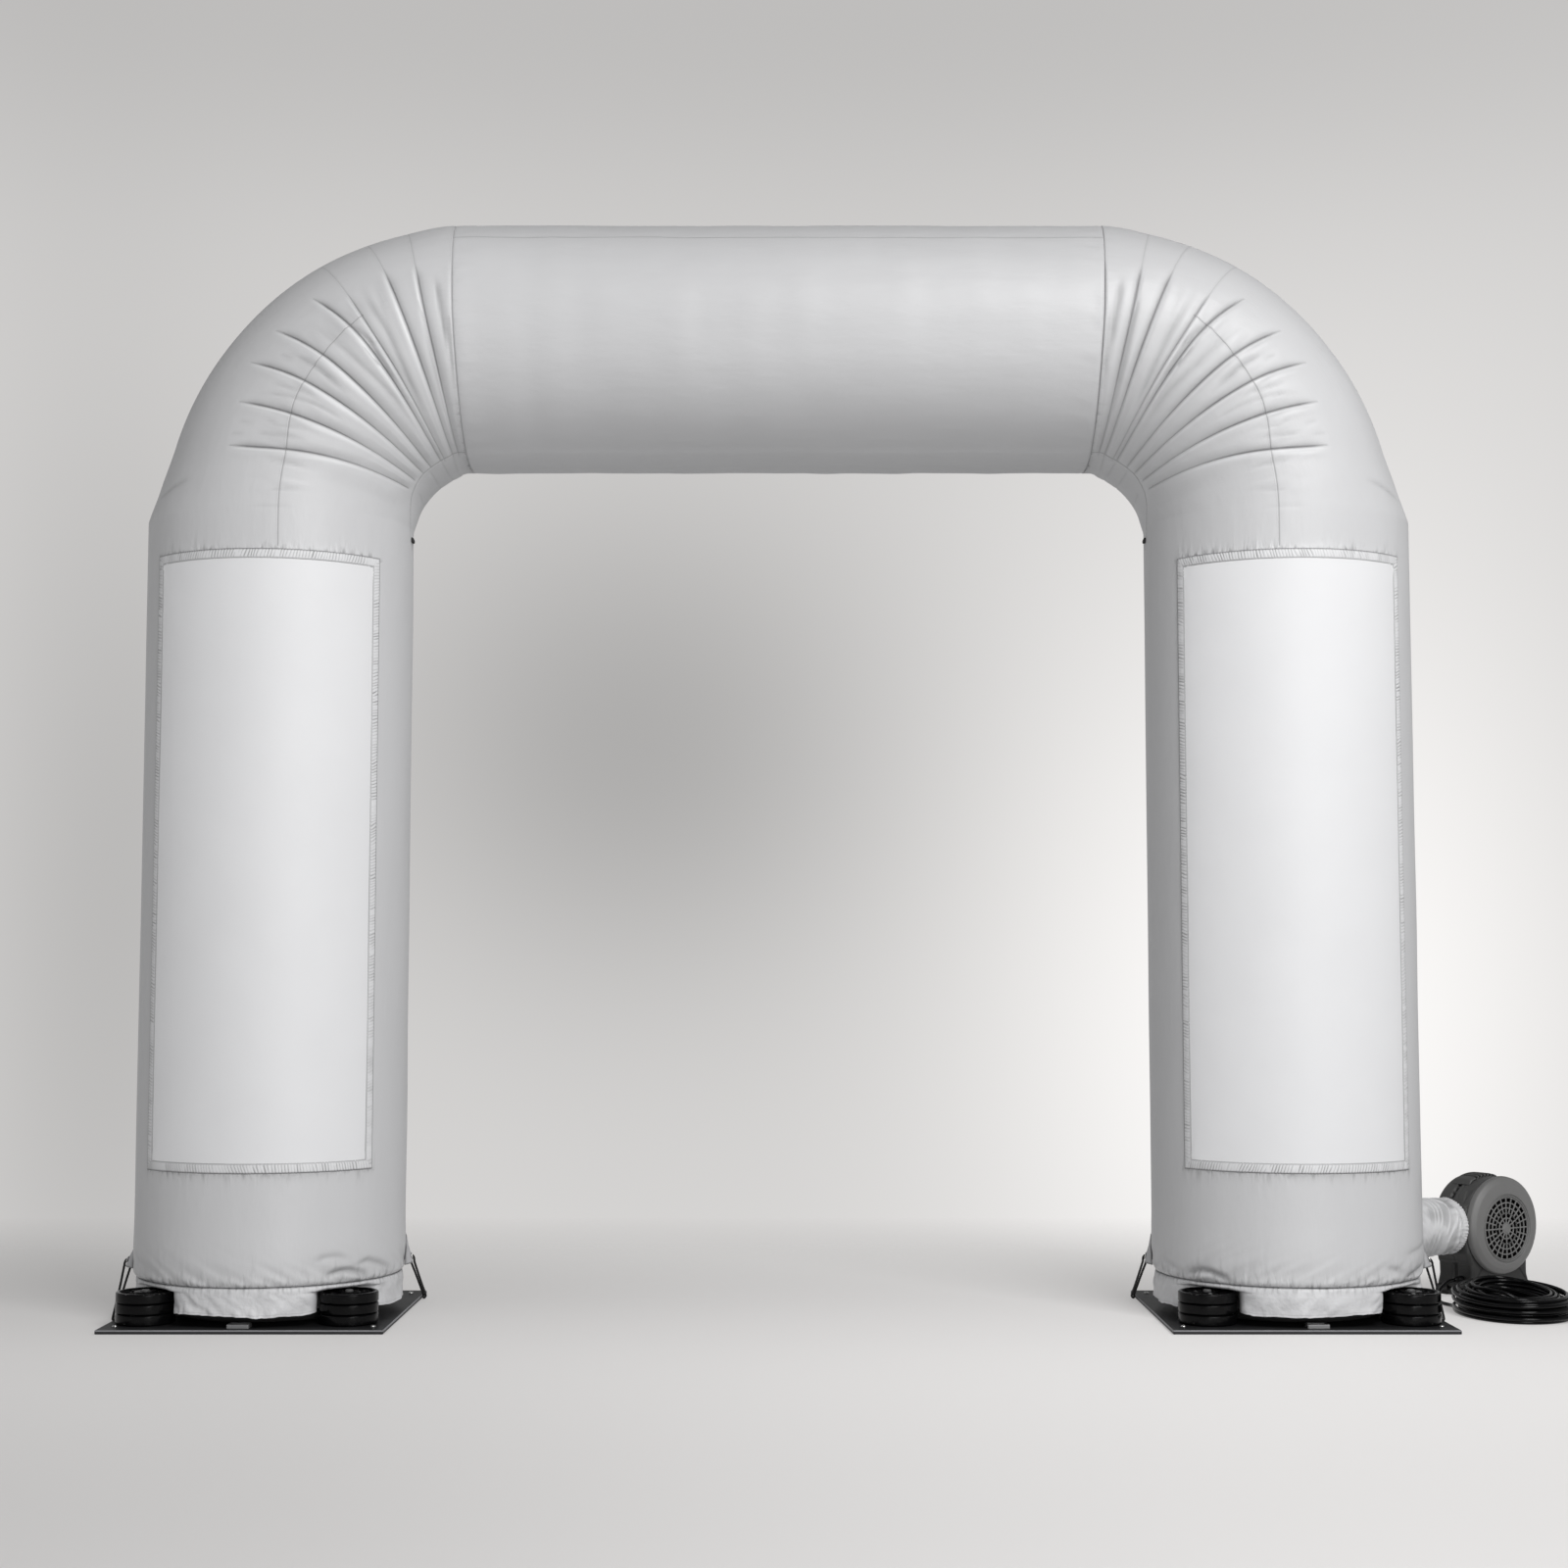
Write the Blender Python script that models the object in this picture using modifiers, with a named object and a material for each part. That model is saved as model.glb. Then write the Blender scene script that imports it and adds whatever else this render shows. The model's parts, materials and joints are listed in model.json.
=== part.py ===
"""Inflatable arch: an air-filled fabric tube with two legs, two gored bends and a top tube,
tied down to two weighted steel plates and blown up by a blower through a fabric sleeve.

Metres, +Z up. The floor is z = 0. The arch stands across X and is walked through along Y.
A point of one side is worked out from `w`, its distance outwards from the arch's middle,
and `side` is -1 for the left side and +1 for the right one."""
import math

import bmesh
import bpy
from mathutils import Matrix, Vector

# ---------------------------------------------------------------- driving dimensions
# The part's origin is the middle of its base, blower included: the arch stands left of it.
ARCH_X = -0.2260
ARCH_Y = -0.0926

GAP = 0.0003                # between pieces that touch
TUBE_SIDES = 32             # facets round the tube; a corner faces straight to the front

LEG_OFFSET = 1.531          # a leg's axis from the arch's middle
LEG_RADIUS = 0.400
TOP_RADIUS = 0.377
BEND_RADIUS = 0.565         # the bend's centre line
BEND_W = LEG_OFFSET - BEND_RADIUS
BEND_Z = 2.384              # height at which the bend starts

PLATE_SIZE = 0.820
PLATE_THICKNESS = 0.012
PLATE_BEVEL = 0.002
PLATE_TOP = PLATE_THICKNESS + GAP

CLIP_ACROSS = 0.011         # the plate's clip from the leg's axis
CLIP_FORWARD = 0.358
CLIP_SIZE = (0.064, 0.046, 0.011)

PAD_RADIUS = 0.285
PAD_TOP = 0.113

SKIRT_RADIUS = 0.3865
SKIRT_THICKNESS = 0.002
SKIRT_HEM = 0.046
SKIRT_COLUMNS = 48
SKIRT_WAVES = 12
SKIRT_WAVE = 0.0022

WEIGHT_RADIUS = 0.085
WEIGHT_THICKNESS = 0.0302
WEIGHT_BORE = 0.0135
WEIGHTS_IN_STACK = 3
OUTER_STACK_ACROSS = 0.304  # a stack from the leg's axis, sideways
INNER_STACK_ACROSS = 0.286
STACK_FORWARD = 0.267       # and towards the front
STUD_RADIUS = 0.0125
STUD_TOP = 0.108

PANEL_TURN = 3.5            # degrees that the panel's middle is turned towards the walkway
BINDING_HALF_ANGLE = 54.0
BINDING_ANGLE = 4.3         # the binding's width on its upright sides, in degrees
BINDING_WIDTH = 0.030
BINDING_LOW = 0.450
BINDING_HIGH = 2.258
BINDING_THICKNESS = 0.003
PANEL_THICKNESS = 0.0015

STRIP_HALF_COLUMNS = 2      # facets of the tube on each side of the innermost line
STRIP_THICKNESS = 0.0015

ROPE_DIAMETER = 0.007
TAB_TOP = 0.226
TAB_LOW = 0.142
TAB_HALF_ANGLE = 10.0
TAB_CLEAR = 0.0035          # over the wall where the tab is sewn to it
TIE_CLEAR = 0.0095          # from the wall to the middle of a tie's strand beside it
TAB_THICKNESS = 0.0015

SLEEVE_RADIUS = 0.088
SLEEVE_SIDES = 24
SLEEVE_CHANNEL = 0.680      # the ruffle starts here, past the drawn-in channel
RUFFLE = 0.0012
SLEEVE_END = 0.697          # from the leg's axis

BLOWER_TURN = 32.0          # degrees from +X to the back, the sleeve's and the outlet's line
BLOWER_REACH = 0.857        # from the leg's axis to the fan's axis, along the sleeve
OUTLET_BACK = 0.100         # the outlet's line behind the blower's face
OUTLET_RADIUS = 0.066
FAN_Z = 0.220
FACE_RADIUS = 0.154
HOUSING_RADIUS = 0.150
HOUSING_HALF_WIDTH = 0.126
HOUSING_FRONT = 0.030
HOUSING_DEPTH = 0.140
BASE_HEIGHT = 0.030
HUMP_START = 66.0           # degrees round the fan's axis
HUMP_END = 124.0
HUMP_RISE = 0.011
HUMP_CLEAR = 0.0015
GRILLE_RADII = (0.016, 0.020, 0.037, 0.042, 0.059, 0.064, 0.087, 0.0955)
GRILLE_SPOKES = 12
SPOKE_HALF_ANGLE = 4.5
GRILLE_THICKNESS = 0.004

CORD_DIAMETER = 0.011
COIL_X = 2.2076             # the coil's middle, from the arch's middle
COIL_Y = -0.020
COIL_STRETCH = 1.30         # the coil is longer from front to back
PLUG_FRONT = (-0.040, 0.046, 0.0206)    # the plug's front from the coil's middle, on the floor
PLUG_TURN = -8.0            # degrees from +X that the plug's axis is turned

# ---------------------------------------------------------------- tables
# The tube's section through a bend. angle is 0 at the leg and 90 at the top tube; outer,
# inner and front are the section's reach from the centre line to its three sides.
BEND_SECTIONS = (
    # angle, outer, inner, front
    (0.0, 0.400, 0.400, 0.400),
    (6.0, 0.371, 0.403, 0.398),
    (15.0, 0.351, 0.405, 0.394),
    (35.0, 0.348, 0.405, 0.390),
    (60.0, 0.357, 0.399, 0.386),
    (78.0, 0.364, 0.388, 0.381),
    (88.0, 0.377, 0.377, 0.377),
    (100.0, 0.377, 0.377, 0.377),
)
# The bend's stations. at is the angle on the bend's front; towards its outer and inner side
# a station leans by outer_lean and inner_lean degrees of bend for each degree round the
# tube. depth is how far a dart draws the cloth in, and is negative on a puffed gore.
BEND_STATIONS = (
    # at, outer_lean, inner_lean, depth
    (0.0, 0.000, 0.000, 0.000),
    (4.5, 0.020, 0.060, 0.000),
    (10.0, 0.060, 0.140, -0.003),
    (17.5, 0.100, 0.226, 0.013),
    (24.0, 0.120, 0.205, -0.004),
    (30.0, 0.137, 0.183, 0.013),
    (35.6, 0.150, 0.174, -0.004),
    (41.3, 0.160, 0.164, 0.013),
    (46.2, 0.163, 0.159, -0.004),
    (51.0, 0.165, 0.154, 0.013),
    (57.0, 0.180, 0.145, -0.004),
    (62.8, 0.180, 0.135, 0.014),
    (69.5, 0.150, 0.120, -0.004),
    (76.5, 0.120, 0.099, 0.012),
    (79.5, 0.095, 0.090, -0.002),
    (82.5, 0.075, 0.080, 0.010),
    (86.5, 0.055, 0.068, -0.002),
    (90.4, 0.040, 0.056, 0.000),
)
DART_START = 56.0           # degrees round the tube from the outer side to a dart's end
DART_FULL = 80.0
DART_FADE = 128.0
DART_END = 156.0
# The leg's profile below its straight wall, down its drawn-in foot to the flat it stands on.
LEG_PROFILE = (
    # z, radius
    (0.300, 0.4000),
    (0.200, 0.4015),
    (0.165, 0.3990),
    (0.145, 0.3925),
    (0.130, 0.3840),
    (0.1235, 0.3600),
    (0.1165, 0.3000),
    (0.1135, 0.2700),
)
# The skirt hangs in rows. pushed is the share of the dent that the weights press into it.
SKIRT_ROWS = (
    # z, pushed
    (0.1295, 0.00),
    (0.1180, 0.55),
    (0.1065, 1.00),
    (0.0750, 1.00),
    (SKIRT_HEM, 1.00),
)
DENT_ANGLE = 12.8           # a dent's half width, at half its depth
DENT_CLEAR = 0.002          # from the skirt to the weights beside it
# A weight's section, from its bore round its rim. The top one shows its dished web.
PLAIN_WEIGHT = (
    # radius, z
    (WEIGHT_BORE, 0.0),
    (0.0815, 0.0),
    (WEIGHT_RADIUS, 0.0035),
    (WEIGHT_RADIUS, 0.0267),
    (0.0815, WEIGHT_THICKNESS),
    (WEIGHT_BORE, WEIGHT_THICKNESS),
)
TOP_WEIGHT = PLAIN_WEIGHT[:5] + (
    (0.0720, WEIGHT_THICKNESS),
    (0.0680, 0.0252),
    (0.0330, 0.0252),
    (0.0290, WEIGHT_THICKNESS),
    (WEIGHT_BORE, WEIGHT_THICKNESS),
)
# The ties of a leg. pull is how far the tab's lower edge stands off the wall; plate_w and
# plate_y are where the tie goes over the plate's edge, from the leg's axis.
TIES = (
    # name, around, pull, plate_w, plate_y
    ("outer", 0.0, 0.034, 0.410, -0.180),
    ("inner", 192.0, 0.020, -0.410, 0.300),
)
# A tie's loop, hung through its tab. share is 0 beside the wall and 1 outside the tab.
TIE_LOOP = (
    # share, z
    (0.45, 0.112),
    (0.81, 0.126),
    (1.00, 0.143),
    (0.92, 0.156),
    (0.68, 0.1635),
    (0.38, 0.1635),
    (0.13, 0.157),
    (0.03, 0.145),
    (0.07, 0.130),
    (0.20, 0.112),
)
TAB_ROWS = (
    # z, pulled
    (TAB_LOW, 1.00),
    (0.152, 0.87),
    (0.174, 0.60),
    (TAB_TOP, 0.00),
)
TAB_COLUMNS = (-1.0, -0.30, -0.10, 0.10, 0.30, 1.0)
SLEEVE_ROWS = (
    # distance from the leg's axis, radius
    (0.440, 0.0880),
    (0.510, 0.0890),
    (0.600, 0.0885),
    (0.660, 0.0870),
    (0.675, 0.0835),
    (0.687, 0.0875),
    (SLEEVE_END, 0.0880),
)
# The blower's turned pieces. back is measured from the face, towards the motor.
FACE_PROFILE = (
    # radius, back
    (0.0965, 0.002),
    (0.1010, -0.003),
    (0.1080, -0.004),
    (0.1320, 0.001),
    (0.1470, 0.012),
    (FACE_RADIUS, 0.022),
    (FACE_RADIUS, 0.0297),
    (0.0965, 0.0297),
)
MOTOR_PROFILE = (
    # radius, back
    (0.0, 0.1703),
    (0.0860, 0.1703),
    (0.0860, 0.2050),
    (0.0740, 0.2200),
    (0.0, 0.2230),
)
GLAND_PROFILE = (
    # radius, length
    (0.0, 0.0),
    (0.0120, 0.0),
    (0.0120, 0.010),
    (0.0075, 0.032),
    (0.0, 0.032),
)
COIL_PROFILE = (
    # radius, z
    (0.0850, 0.0004),
    (0.1720, 0.0004),
    (0.1760, 0.0080),
    (0.1700, 0.0240),
    (0.1520, 0.0520),
    (0.1280, 0.0800),
    (0.1120, 0.0850),
    (0.0980, 0.0780),
    (0.0860, 0.0550),
)
PLUG_PROFILE = (
    # radius, length from its front
    (0.0, 0.0),
    (0.0190, 0.0),
    (0.0200, 0.018),
    (0.0165, 0.036),
    (0.0090, 0.044),
    (0.0060, 0.072),
    (0.0, 0.072),
)
# The lead's route from the gland to the coil, from the arch's middle.
LEAD_ROUTE = (
    # x, y, z
    (2.1337, 0.3415, 0.0530),
    (2.1170, 0.3311, 0.0515),
    (2.0980, 0.3190, 0.0440),
    (2.0800, 0.3055, 0.0310),
    (2.0650, 0.2890, 0.0175),
    (2.0550, 0.2680, 0.0085),
    (2.0495, 0.2430, 0.0062),
    (2.0475, 0.2150, 0.0062),
    (2.0470, 0.1860, 0.0062),
    (2.0490, 0.1600, 0.0062),
    (2.0560, 0.1390, 0.0062),
    (2.0687, 0.1229, 0.0062),
)

# ---------------------------------------------------------------- scene and materials
for leftover in list(bpy.data.objects):
    bpy.data.objects.remove(leftover, do_unlink=True)


ARCH = bpy.data.collections.new("inflatable_arch")
bpy.context.scene.collection.children.link(ARCH)


def material(name, colour, roughness, metallic=0.0):
    made = bpy.data.materials.new(name)
    made.use_nodes = True
    shader = made.node_tree.nodes["Principled BSDF"]
    shader.inputs["Base Color"].default_value = (*colour, 1.0)
    shader.inputs["Roughness"].default_value = roughness
    shader.inputs["Metallic"].default_value = metallic
    return made


TUBE_CLOTH = material("tube_cloth", (0.60, 0.60, 0.61), 0.45)
PANEL_CLOTH = material("panel_cloth", (0.82, 0.82, 0.83), 0.55)
BINDING_CLOTH = material("binding_cloth", (0.70, 0.70, 0.71), 0.50)
SKIRT_CLOTH = material("skirt_cloth", (0.72, 0.72, 0.73), 0.45)
PAD_CLOTH = material("pad_cloth", (0.02, 0.02, 0.02), 0.80)
PLATE_STEEL = material("plate_steel", (0.05, 0.05, 0.05), 0.45, 0.6)
WEIGHT_IRON = material("weight_iron", (0.02, 0.02, 0.02), 0.40, 0.3)
STUD_STEEL = material("stud_steel", (0.60, 0.60, 0.60), 0.30, 1.0)
ROPE = material("tie_rope", (0.02, 0.02, 0.02), 0.75)
BLOWER_PLASTIC = material("blower_plastic", (0.14, 0.14, 0.14), 0.45)
CORD_RUBBER = material("cord_rubber", (0.015, 0.015, 0.015), 0.50)


def keep(thing, finish):
    """Put an object in the part's collection, with its material."""
    ARCH.objects.link(thing)
    thing.data.materials.append(finish)
    return thing


def arch_point(x, y, z):
    """A point given from the arch's middle, in the part's frame."""
    return Vector((ARCH_X + x, ARCH_Y + y, z))


def mesh_object(name, bm, finish):
    mesh = bpy.data.meshes.new(name)
    bm.to_mesh(mesh)
    bm.free()
    return keep(bpy.data.objects.new(name, mesh), finish)


# ---------------------------------------------------------------- shape builders
def loft(name, rings, finish):
    """A closed solid through rings of points, with a fan over each end."""
    bm = bmesh.new()
    loops = [[bm.verts.new(point) for point in ring] for ring in rings]
    count = len(loops[0])
    for low, high in zip(loops, loops[1:]):
        for j in range(count):
            k = (j + 1) % count
            bm.faces.new((low[j], low[k], high[k]))
            bm.faces.new((low[j], high[k], high[j]))
    for loop in (loops[0], loops[-1]):
        centre = bm.verts.new(sum((v.co for v in loop), Vector()) / count)
        for j in range(count):
            bm.faces.new((loop[j], loop[(j + 1) % count], centre))
    bmesh.ops.recalc_face_normals(bm, faces=bm.faces)
    return mesh_object(name, bm, finish)


def sheet(name, rows, columns, point, thickness, finish, flip, wrap=False, holes=()):
    """A cloth of even thickness over a grid of points, its outer face up. holes lists the
    (row, column) cells that are left open, and wrap closes the grid on itself."""
    bm = bmesh.new()
    across = columns if wrap else columns + 1
    grid = [[bm.verts.new(point(i, j)) for j in range(across)] for i in range(rows + 1)]
    for i in range(rows):
        for j in range(columns):
            if (i, j) in holes:
                continue
            k = (j + 1) % across
            corners = [grid[i][j], grid[i][k], grid[i + 1][k], grid[i + 1][j]]
            if flip:
                corners = [corners[2], corners[1], corners[0], corners[3]]
            bm.faces.new((corners[0], corners[1], corners[2]))
            bm.faces.new((corners[0], corners[2], corners[3]))
    loose = [v for v in bm.verts if not v.link_faces]
    bmesh.ops.delete(bm, geom=loose, context="VERTS")
    made = mesh_object(name, bm, finish)
    solidify = made.modifiers.new("thickness", "SOLIDIFY")
    solidify.thickness = thickness
    solidify.offset = 1.0
    solidify.use_even_offset = True
    return made


def box(name, size, location, bevel, finish, turn=0.0):
    """A bevelled block; location is the middle of its underside."""
    bm = bmesh.new()
    bmesh.ops.create_cube(bm, size=1.0)
    bmesh.ops.scale(bm, vec=size, verts=bm.verts)
    bmesh.ops.translate(bm, vec=(0.0, 0.0, size[2] / 2), verts=bm.verts)
    made = mesh_object(name, bm, finish)
    made.location = location
    made.rotation_euler.z = turn
    edges = made.modifiers.new("edges", "BEVEL")
    edges.width = bevel
    edges.segments = 1
    return made


def turned(name, profile, steps, finish, matrix):
    """A turned piece. The profile's points are (radius, height); it is closed round a bore
    unless it starts and ends on the axis."""
    bm = bmesh.new()
    points = [bm.verts.new((radius, 0.0, height)) for radius, height in profile]
    for start, end in zip(points, points[1:]):
        bm.edges.new((start, end))
    if profile[0][0] > 0.0:
        bm.edges.new((points[-1], points[0]))
    bmesh.ops.spin(bm, geom=bm.verts[:] + bm.edges[:], axis=(0.0, 0.0, 1.0),
                   cent=(0.0, 0.0, 0.0), angle=math.tau, steps=steps, use_merge=True)
    bmesh.ops.remove_doubles(bm, verts=bm.verts, dist=0.00001)
    bmesh.ops.recalc_face_normals(bm, faces=bm.faces)
    made = mesh_object(name, bm, finish)
    made.matrix_world = matrix
    return made


def extruded(name, outline, depth, bevel, finish, matrix):
    """A flat outline drawn in X and Z, thickened towards +Y, with bevelled edges."""
    bm = bmesh.new()
    face = bm.faces.new([bm.verts.new((x, 0.0, z)) for x, z in outline])
    sides = bmesh.ops.extrude_face_region(bm, geom=[face])
    moved = [item for item in sides["geom"] if isinstance(item, bmesh.types.BMVert)]
    bmesh.ops.translate(bm, vec=(0.0, depth, 0.0), verts=moved)
    bmesh.ops.recalc_face_normals(bm, faces=bm.faces)
    made = mesh_object(name, bm, finish)
    made.matrix_world = matrix
    if bevel:
        edges = made.modifiers.new("edges", "BEVEL")
        edges.width = bevel
        edges.segments = 2
        edges.limit_method = "ANGLE"
        edges.angle_limit = math.radians(50.0)
    return made


def round_bar(name, points, diameter, finish, closed=False, resolution=1):
    """A rope or cable: a poly line with a round section and filled ends."""
    curve = bpy.data.curves.new(name, "CURVE")
    curve.dimensions = "3D"
    curve.bevel_depth = diameter / 2
    curve.bevel_resolution = resolution
    curve.use_fill_caps = True
    spline = curve.splines.new("POLY")
    spline.points.add(len(points) - 1)
    for target, point in zip(spline.points, points):
        target.co = (*point, 1.0)
    spline.use_cyclic_u = closed
    return keep(bpy.data.objects.new(name, curve), finish)


def smooth_step(low, high, value):
    share = min(max((value - low) / (high - low), 0.0), 1.0)
    return share * share * (3.0 - 2.0 * share)


def between(table, key, column):
    """A column of a table at a key that lies between its rows."""
    for low, high in zip(table, table[1:]):
        if key <= high[0]:
            share = (key - low[0]) / (high[0] - low[0])
            return low[column] + (high[column] - low[column]) * share
    return table[-1][column]


# ---------------------------------------------------------------- the tube
def side_point(side, w, y, z):
    return arch_point(side * w, y, z)


def leg_point(side, around, radius, z):
    """A point round a leg: around is 0 at its outer side, 90 at the front, 180 inside."""
    angle = math.radians(around)
    w = LEG_OFFSET + radius * math.cos(angle)
    return side_point(side, w, -radius * math.sin(angle), z)


def wall_radius(around, clear):
    """The radius of the leg's faceted wall in a direction, plus a clearance."""
    facet = 360.0 / TUBE_SIDES
    off_middle = math.radians(around % facet - facet / 2)
    return (LEG_RADIUS + clear) * math.cos(math.radians(facet / 2)) / math.cos(off_middle)


def bend_point(side, station, around, clear=0.0):
    """A point of a bend at a row of BEND_STATIONS, `clear` above its skin."""
    at, outer_lean, inner_lean, depth = station
    front = around if around <= 180.0 else 360.0 - around
    bend = at + outer_lean * min(front - 90.0, 0.0) + inner_lean * max(front - 90.0, 0.0)
    drawn_in = smooth_step(DART_START, DART_FULL, front)
    drawn_in *= 1.0 - smooth_step(DART_FADE, DART_END, front)
    rise = clear - depth * drawn_in
    angle = math.radians(around)
    outwards = math.cos(angle)
    reach = between(BEND_SECTIONS, bend, 1 if outwards > 0.0 else 2) + rise
    depth_y = between(BEND_SECTIONS, bend, 3) + rise
    from_centre = BEND_RADIUS + reach * outwards
    y = -depth_y * math.sin(angle)
    turn = math.radians(bend)
    if bend <= 90.0:
        w = BEND_W + from_centre * math.cos(turn)
        return side_point(side, w, y, BEND_Z + from_centre * math.sin(turn))
    w = BEND_W - from_centre * math.tan(turn - math.pi / 2)
    return side_point(side, w, y, BEND_Z + from_centre)


def tube_angles():
    return [360.0 * j / TUBE_SIDES for j in range(TUBE_SIDES)]


def make_leg(prefix, side):
    profile = ((BEND_Z - GAP, LEG_RADIUS),) + LEG_PROFILE
    rings = [[leg_point(side, a, r, z) for a in tube_angles()] for z, r in profile]
    loft(prefix + "leg", rings, TUBE_CLOTH)


def make_bend(prefix, side):
    rings = [[bend_point(side, s, a) for a in tube_angles()] for s in BEND_STATIONS]
    loft(prefix + "bend", rings, TUBE_CLOTH)


def make_bend_strip(prefix, side):
    """The smooth strip along the bend's inner side, on the facets of the bend itself."""
    facet = 360.0 / TUBE_SIDES
    first = 180.0 - STRIP_HALF_COLUMNS * facet
    stations = BEND_STATIONS[1:-1]

    def point(i, j):
        return bend_point(side, stations[i], first + facet * j, GAP)

    sheet(prefix + "bend_strip", len(stations) - 1, 2 * STRIP_HALF_COLUMNS, point,
          STRIP_THICKNESS, TUBE_CLOTH, flip=side > 0)


def make_top_tube():
    """The level tube between the bends; its ends are the bends' own last rings."""
    last = BEND_STATIONS[-1]
    rings = []
    for side in (-1, 1):
        inwards = Vector((-side * 2 * GAP, 0.0, 0.0))
        rings.append([bend_point(side, last, a) + inwards for a in tube_angles()])
    loft("top_tube", rings, TUBE_CLOTH)


# ---------------------------------------------------------------- panel and binding
def make_panel_and_binding(prefix, side):
    low = 90.0 + PANEL_TURN - BINDING_HALF_ANGLE
    high = 90.0 + PANEL_TURN + BINDING_HALF_ANGLE
    corners = [a for a in tube_angles() if low < a < high]
    columns = sorted([low, low + BINDING_ANGLE, high - BINDING_ANGLE, high] + corners)
    heights = [BINDING_LOW, BINDING_LOW + BINDING_WIDTH,
               BINDING_HIGH - BINDING_WIDTH, BINDING_HIGH]

    def binding_point(i, j):
        return leg_point(side, columns[j], wall_radius(columns[j], GAP), heights[i])

    first = columns.index(low + BINDING_ANGLE)
    last = columns.index(high - BINDING_ANGLE)
    window = [(1, j) for j in range(first, last)]
    sheet(prefix + "binding", 3, len(columns) - 1, binding_point, BINDING_THICKNESS,
          BINDING_CLOTH, flip=side > 0, holes=window)

    edge = math.degrees(GAP / LEG_RADIUS)
    inner = columns[first:last + 1]
    inner[0] += edge
    inner[-1] -= edge
    panel_heights = [heights[1] + GAP, heights[2] - GAP]

    def panel_point(i, j):
        return leg_point(side, inner[j], wall_radius(inner[j], GAP), panel_heights[i])

    sheet(prefix + "panel", 1, len(inner) - 1, panel_point, PANEL_THICKNESS,
          PANEL_CLOTH, flip=side > 0)


# ---------------------------------------------------------------- foot
def dent(around):
    """How far the weights push the skirt in, round the leg."""
    pressed = 0.0
    skirt = SKIRT_RADIUS + SKIRT_THICKNESS + SKIRT_WAVE + DENT_CLEAR
    for across in (OUTER_STACK_ACROSS, -INNER_STACK_ACROSS):
        depth = skirt - (math.hypot(across, STACK_FORWARD) - WEIGHT_RADIUS)
        off = (around - math.degrees(math.atan2(STACK_FORWARD, across))) / DENT_ANGLE
        pressed = max(pressed, depth / (1.0 + off ** 4))
    return pressed


def make_skirt(prefix, side):
    def point(i, j):
        around = 360.0 * j / SKIRT_COLUMNS
        z, pushed = SKIRT_ROWS[i]
        share = i / (len(SKIRT_ROWS) - 1)
        wave = math.cos(math.radians(around * SKIRT_WAVES))
        radius = SKIRT_RADIUS - dent(around) * pushed + SKIRT_WAVE * share * wave
        if i == len(SKIRT_ROWS) - 1:
            z += 0.003 * math.cos(math.radians(around * 5 + 40.0))
        return leg_point(side, around, radius, z)

    sheet(prefix + "skirt", len(SKIRT_ROWS) - 1, SKIRT_COLUMNS, point, SKIRT_THICKNESS,
          SKIRT_CLOTH, flip=side < 0, wrap=True)


def make_foot(prefix, side):
    centre = side_point(side, LEG_OFFSET, 0.0, 0.0)
    box(prefix + "plate", (PLATE_SIZE, PLATE_SIZE, PLATE_THICKNESS), centre, PLATE_BEVEL,
        PLATE_STEEL)
    pad = ((0.0, PLATE_TOP), (PAD_RADIUS, PLATE_TOP), (PAD_RADIUS, PAD_TOP), (0.0, PAD_TOP))
    turned(prefix + "base_pad", pad, TUBE_SIDES, PAD_CLOTH, Matrix.Translation(centre))
    clip_place = centre + Vector((side * CLIP_ACROSS, -CLIP_FORWARD, PLATE_TOP))
    box(prefix + "plate_clip", CLIP_SIZE, clip_place, 0.003, PLATE_STEEL)
    for across, word in ((OUTER_STACK_ACROSS, "outer"), (-INNER_STACK_ACROSS, "inner")):
        stack = centre + Vector((side * across, -STACK_FORWARD, 0.0))
        for level in range(WEIGHTS_IN_STACK):
            lift = PLATE_TOP + level * (WEIGHT_THICKNESS + GAP)
            profile = TOP_WEIGHT if level == WEIGHTS_IN_STACK - 1 else PLAIN_WEIGHT
            turned(f"{prefix}{word}_weight_{level + 1}", profile, 16, WEIGHT_IRON,
                   Matrix.Translation(stack + Vector((0.0, 0.0, lift))))
        stud = ((0.0, PLATE_TOP), (STUD_RADIUS, PLATE_TOP), (STUD_RADIUS, STUD_TOP - 0.003),
                (STUD_RADIUS - 0.004, STUD_TOP), (0.0, STUD_TOP))
        turned(f"{prefix}{word}_stud", stud, 12, STUD_STEEL, Matrix.Translation(stack))


# ---------------------------------------------------------------- ties
def make_tab(name, side, around, pull):
    """A triangular cloth tab: sewn to the wall at its top, pulled off it at its lower
    edge, with an eyelet in its middle for the tie."""
    def point(i, j):
        z, pulled = TAB_ROWS[i]
        width = 0.35 + 0.65 * (TAB_TOP - z) / (TAB_TOP - TAB_LOW)
        angle = around + TAB_COLUMNS[j] * TAB_HALF_ANGLE * width
        bulge = 1.0 - abs(TAB_COLUMNS[j]) ** 1.5
        return leg_point(side, angle, wall_radius(angle, TAB_CLEAR + pull * pulled * bulge), z)

    sheet(name, len(TAB_ROWS) - 1, len(TAB_COLUMNS) - 1, point, TAB_THICKNESS, SKIRT_CLOTH,
          flip=side > 0, holes=((1, 2),))


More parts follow.
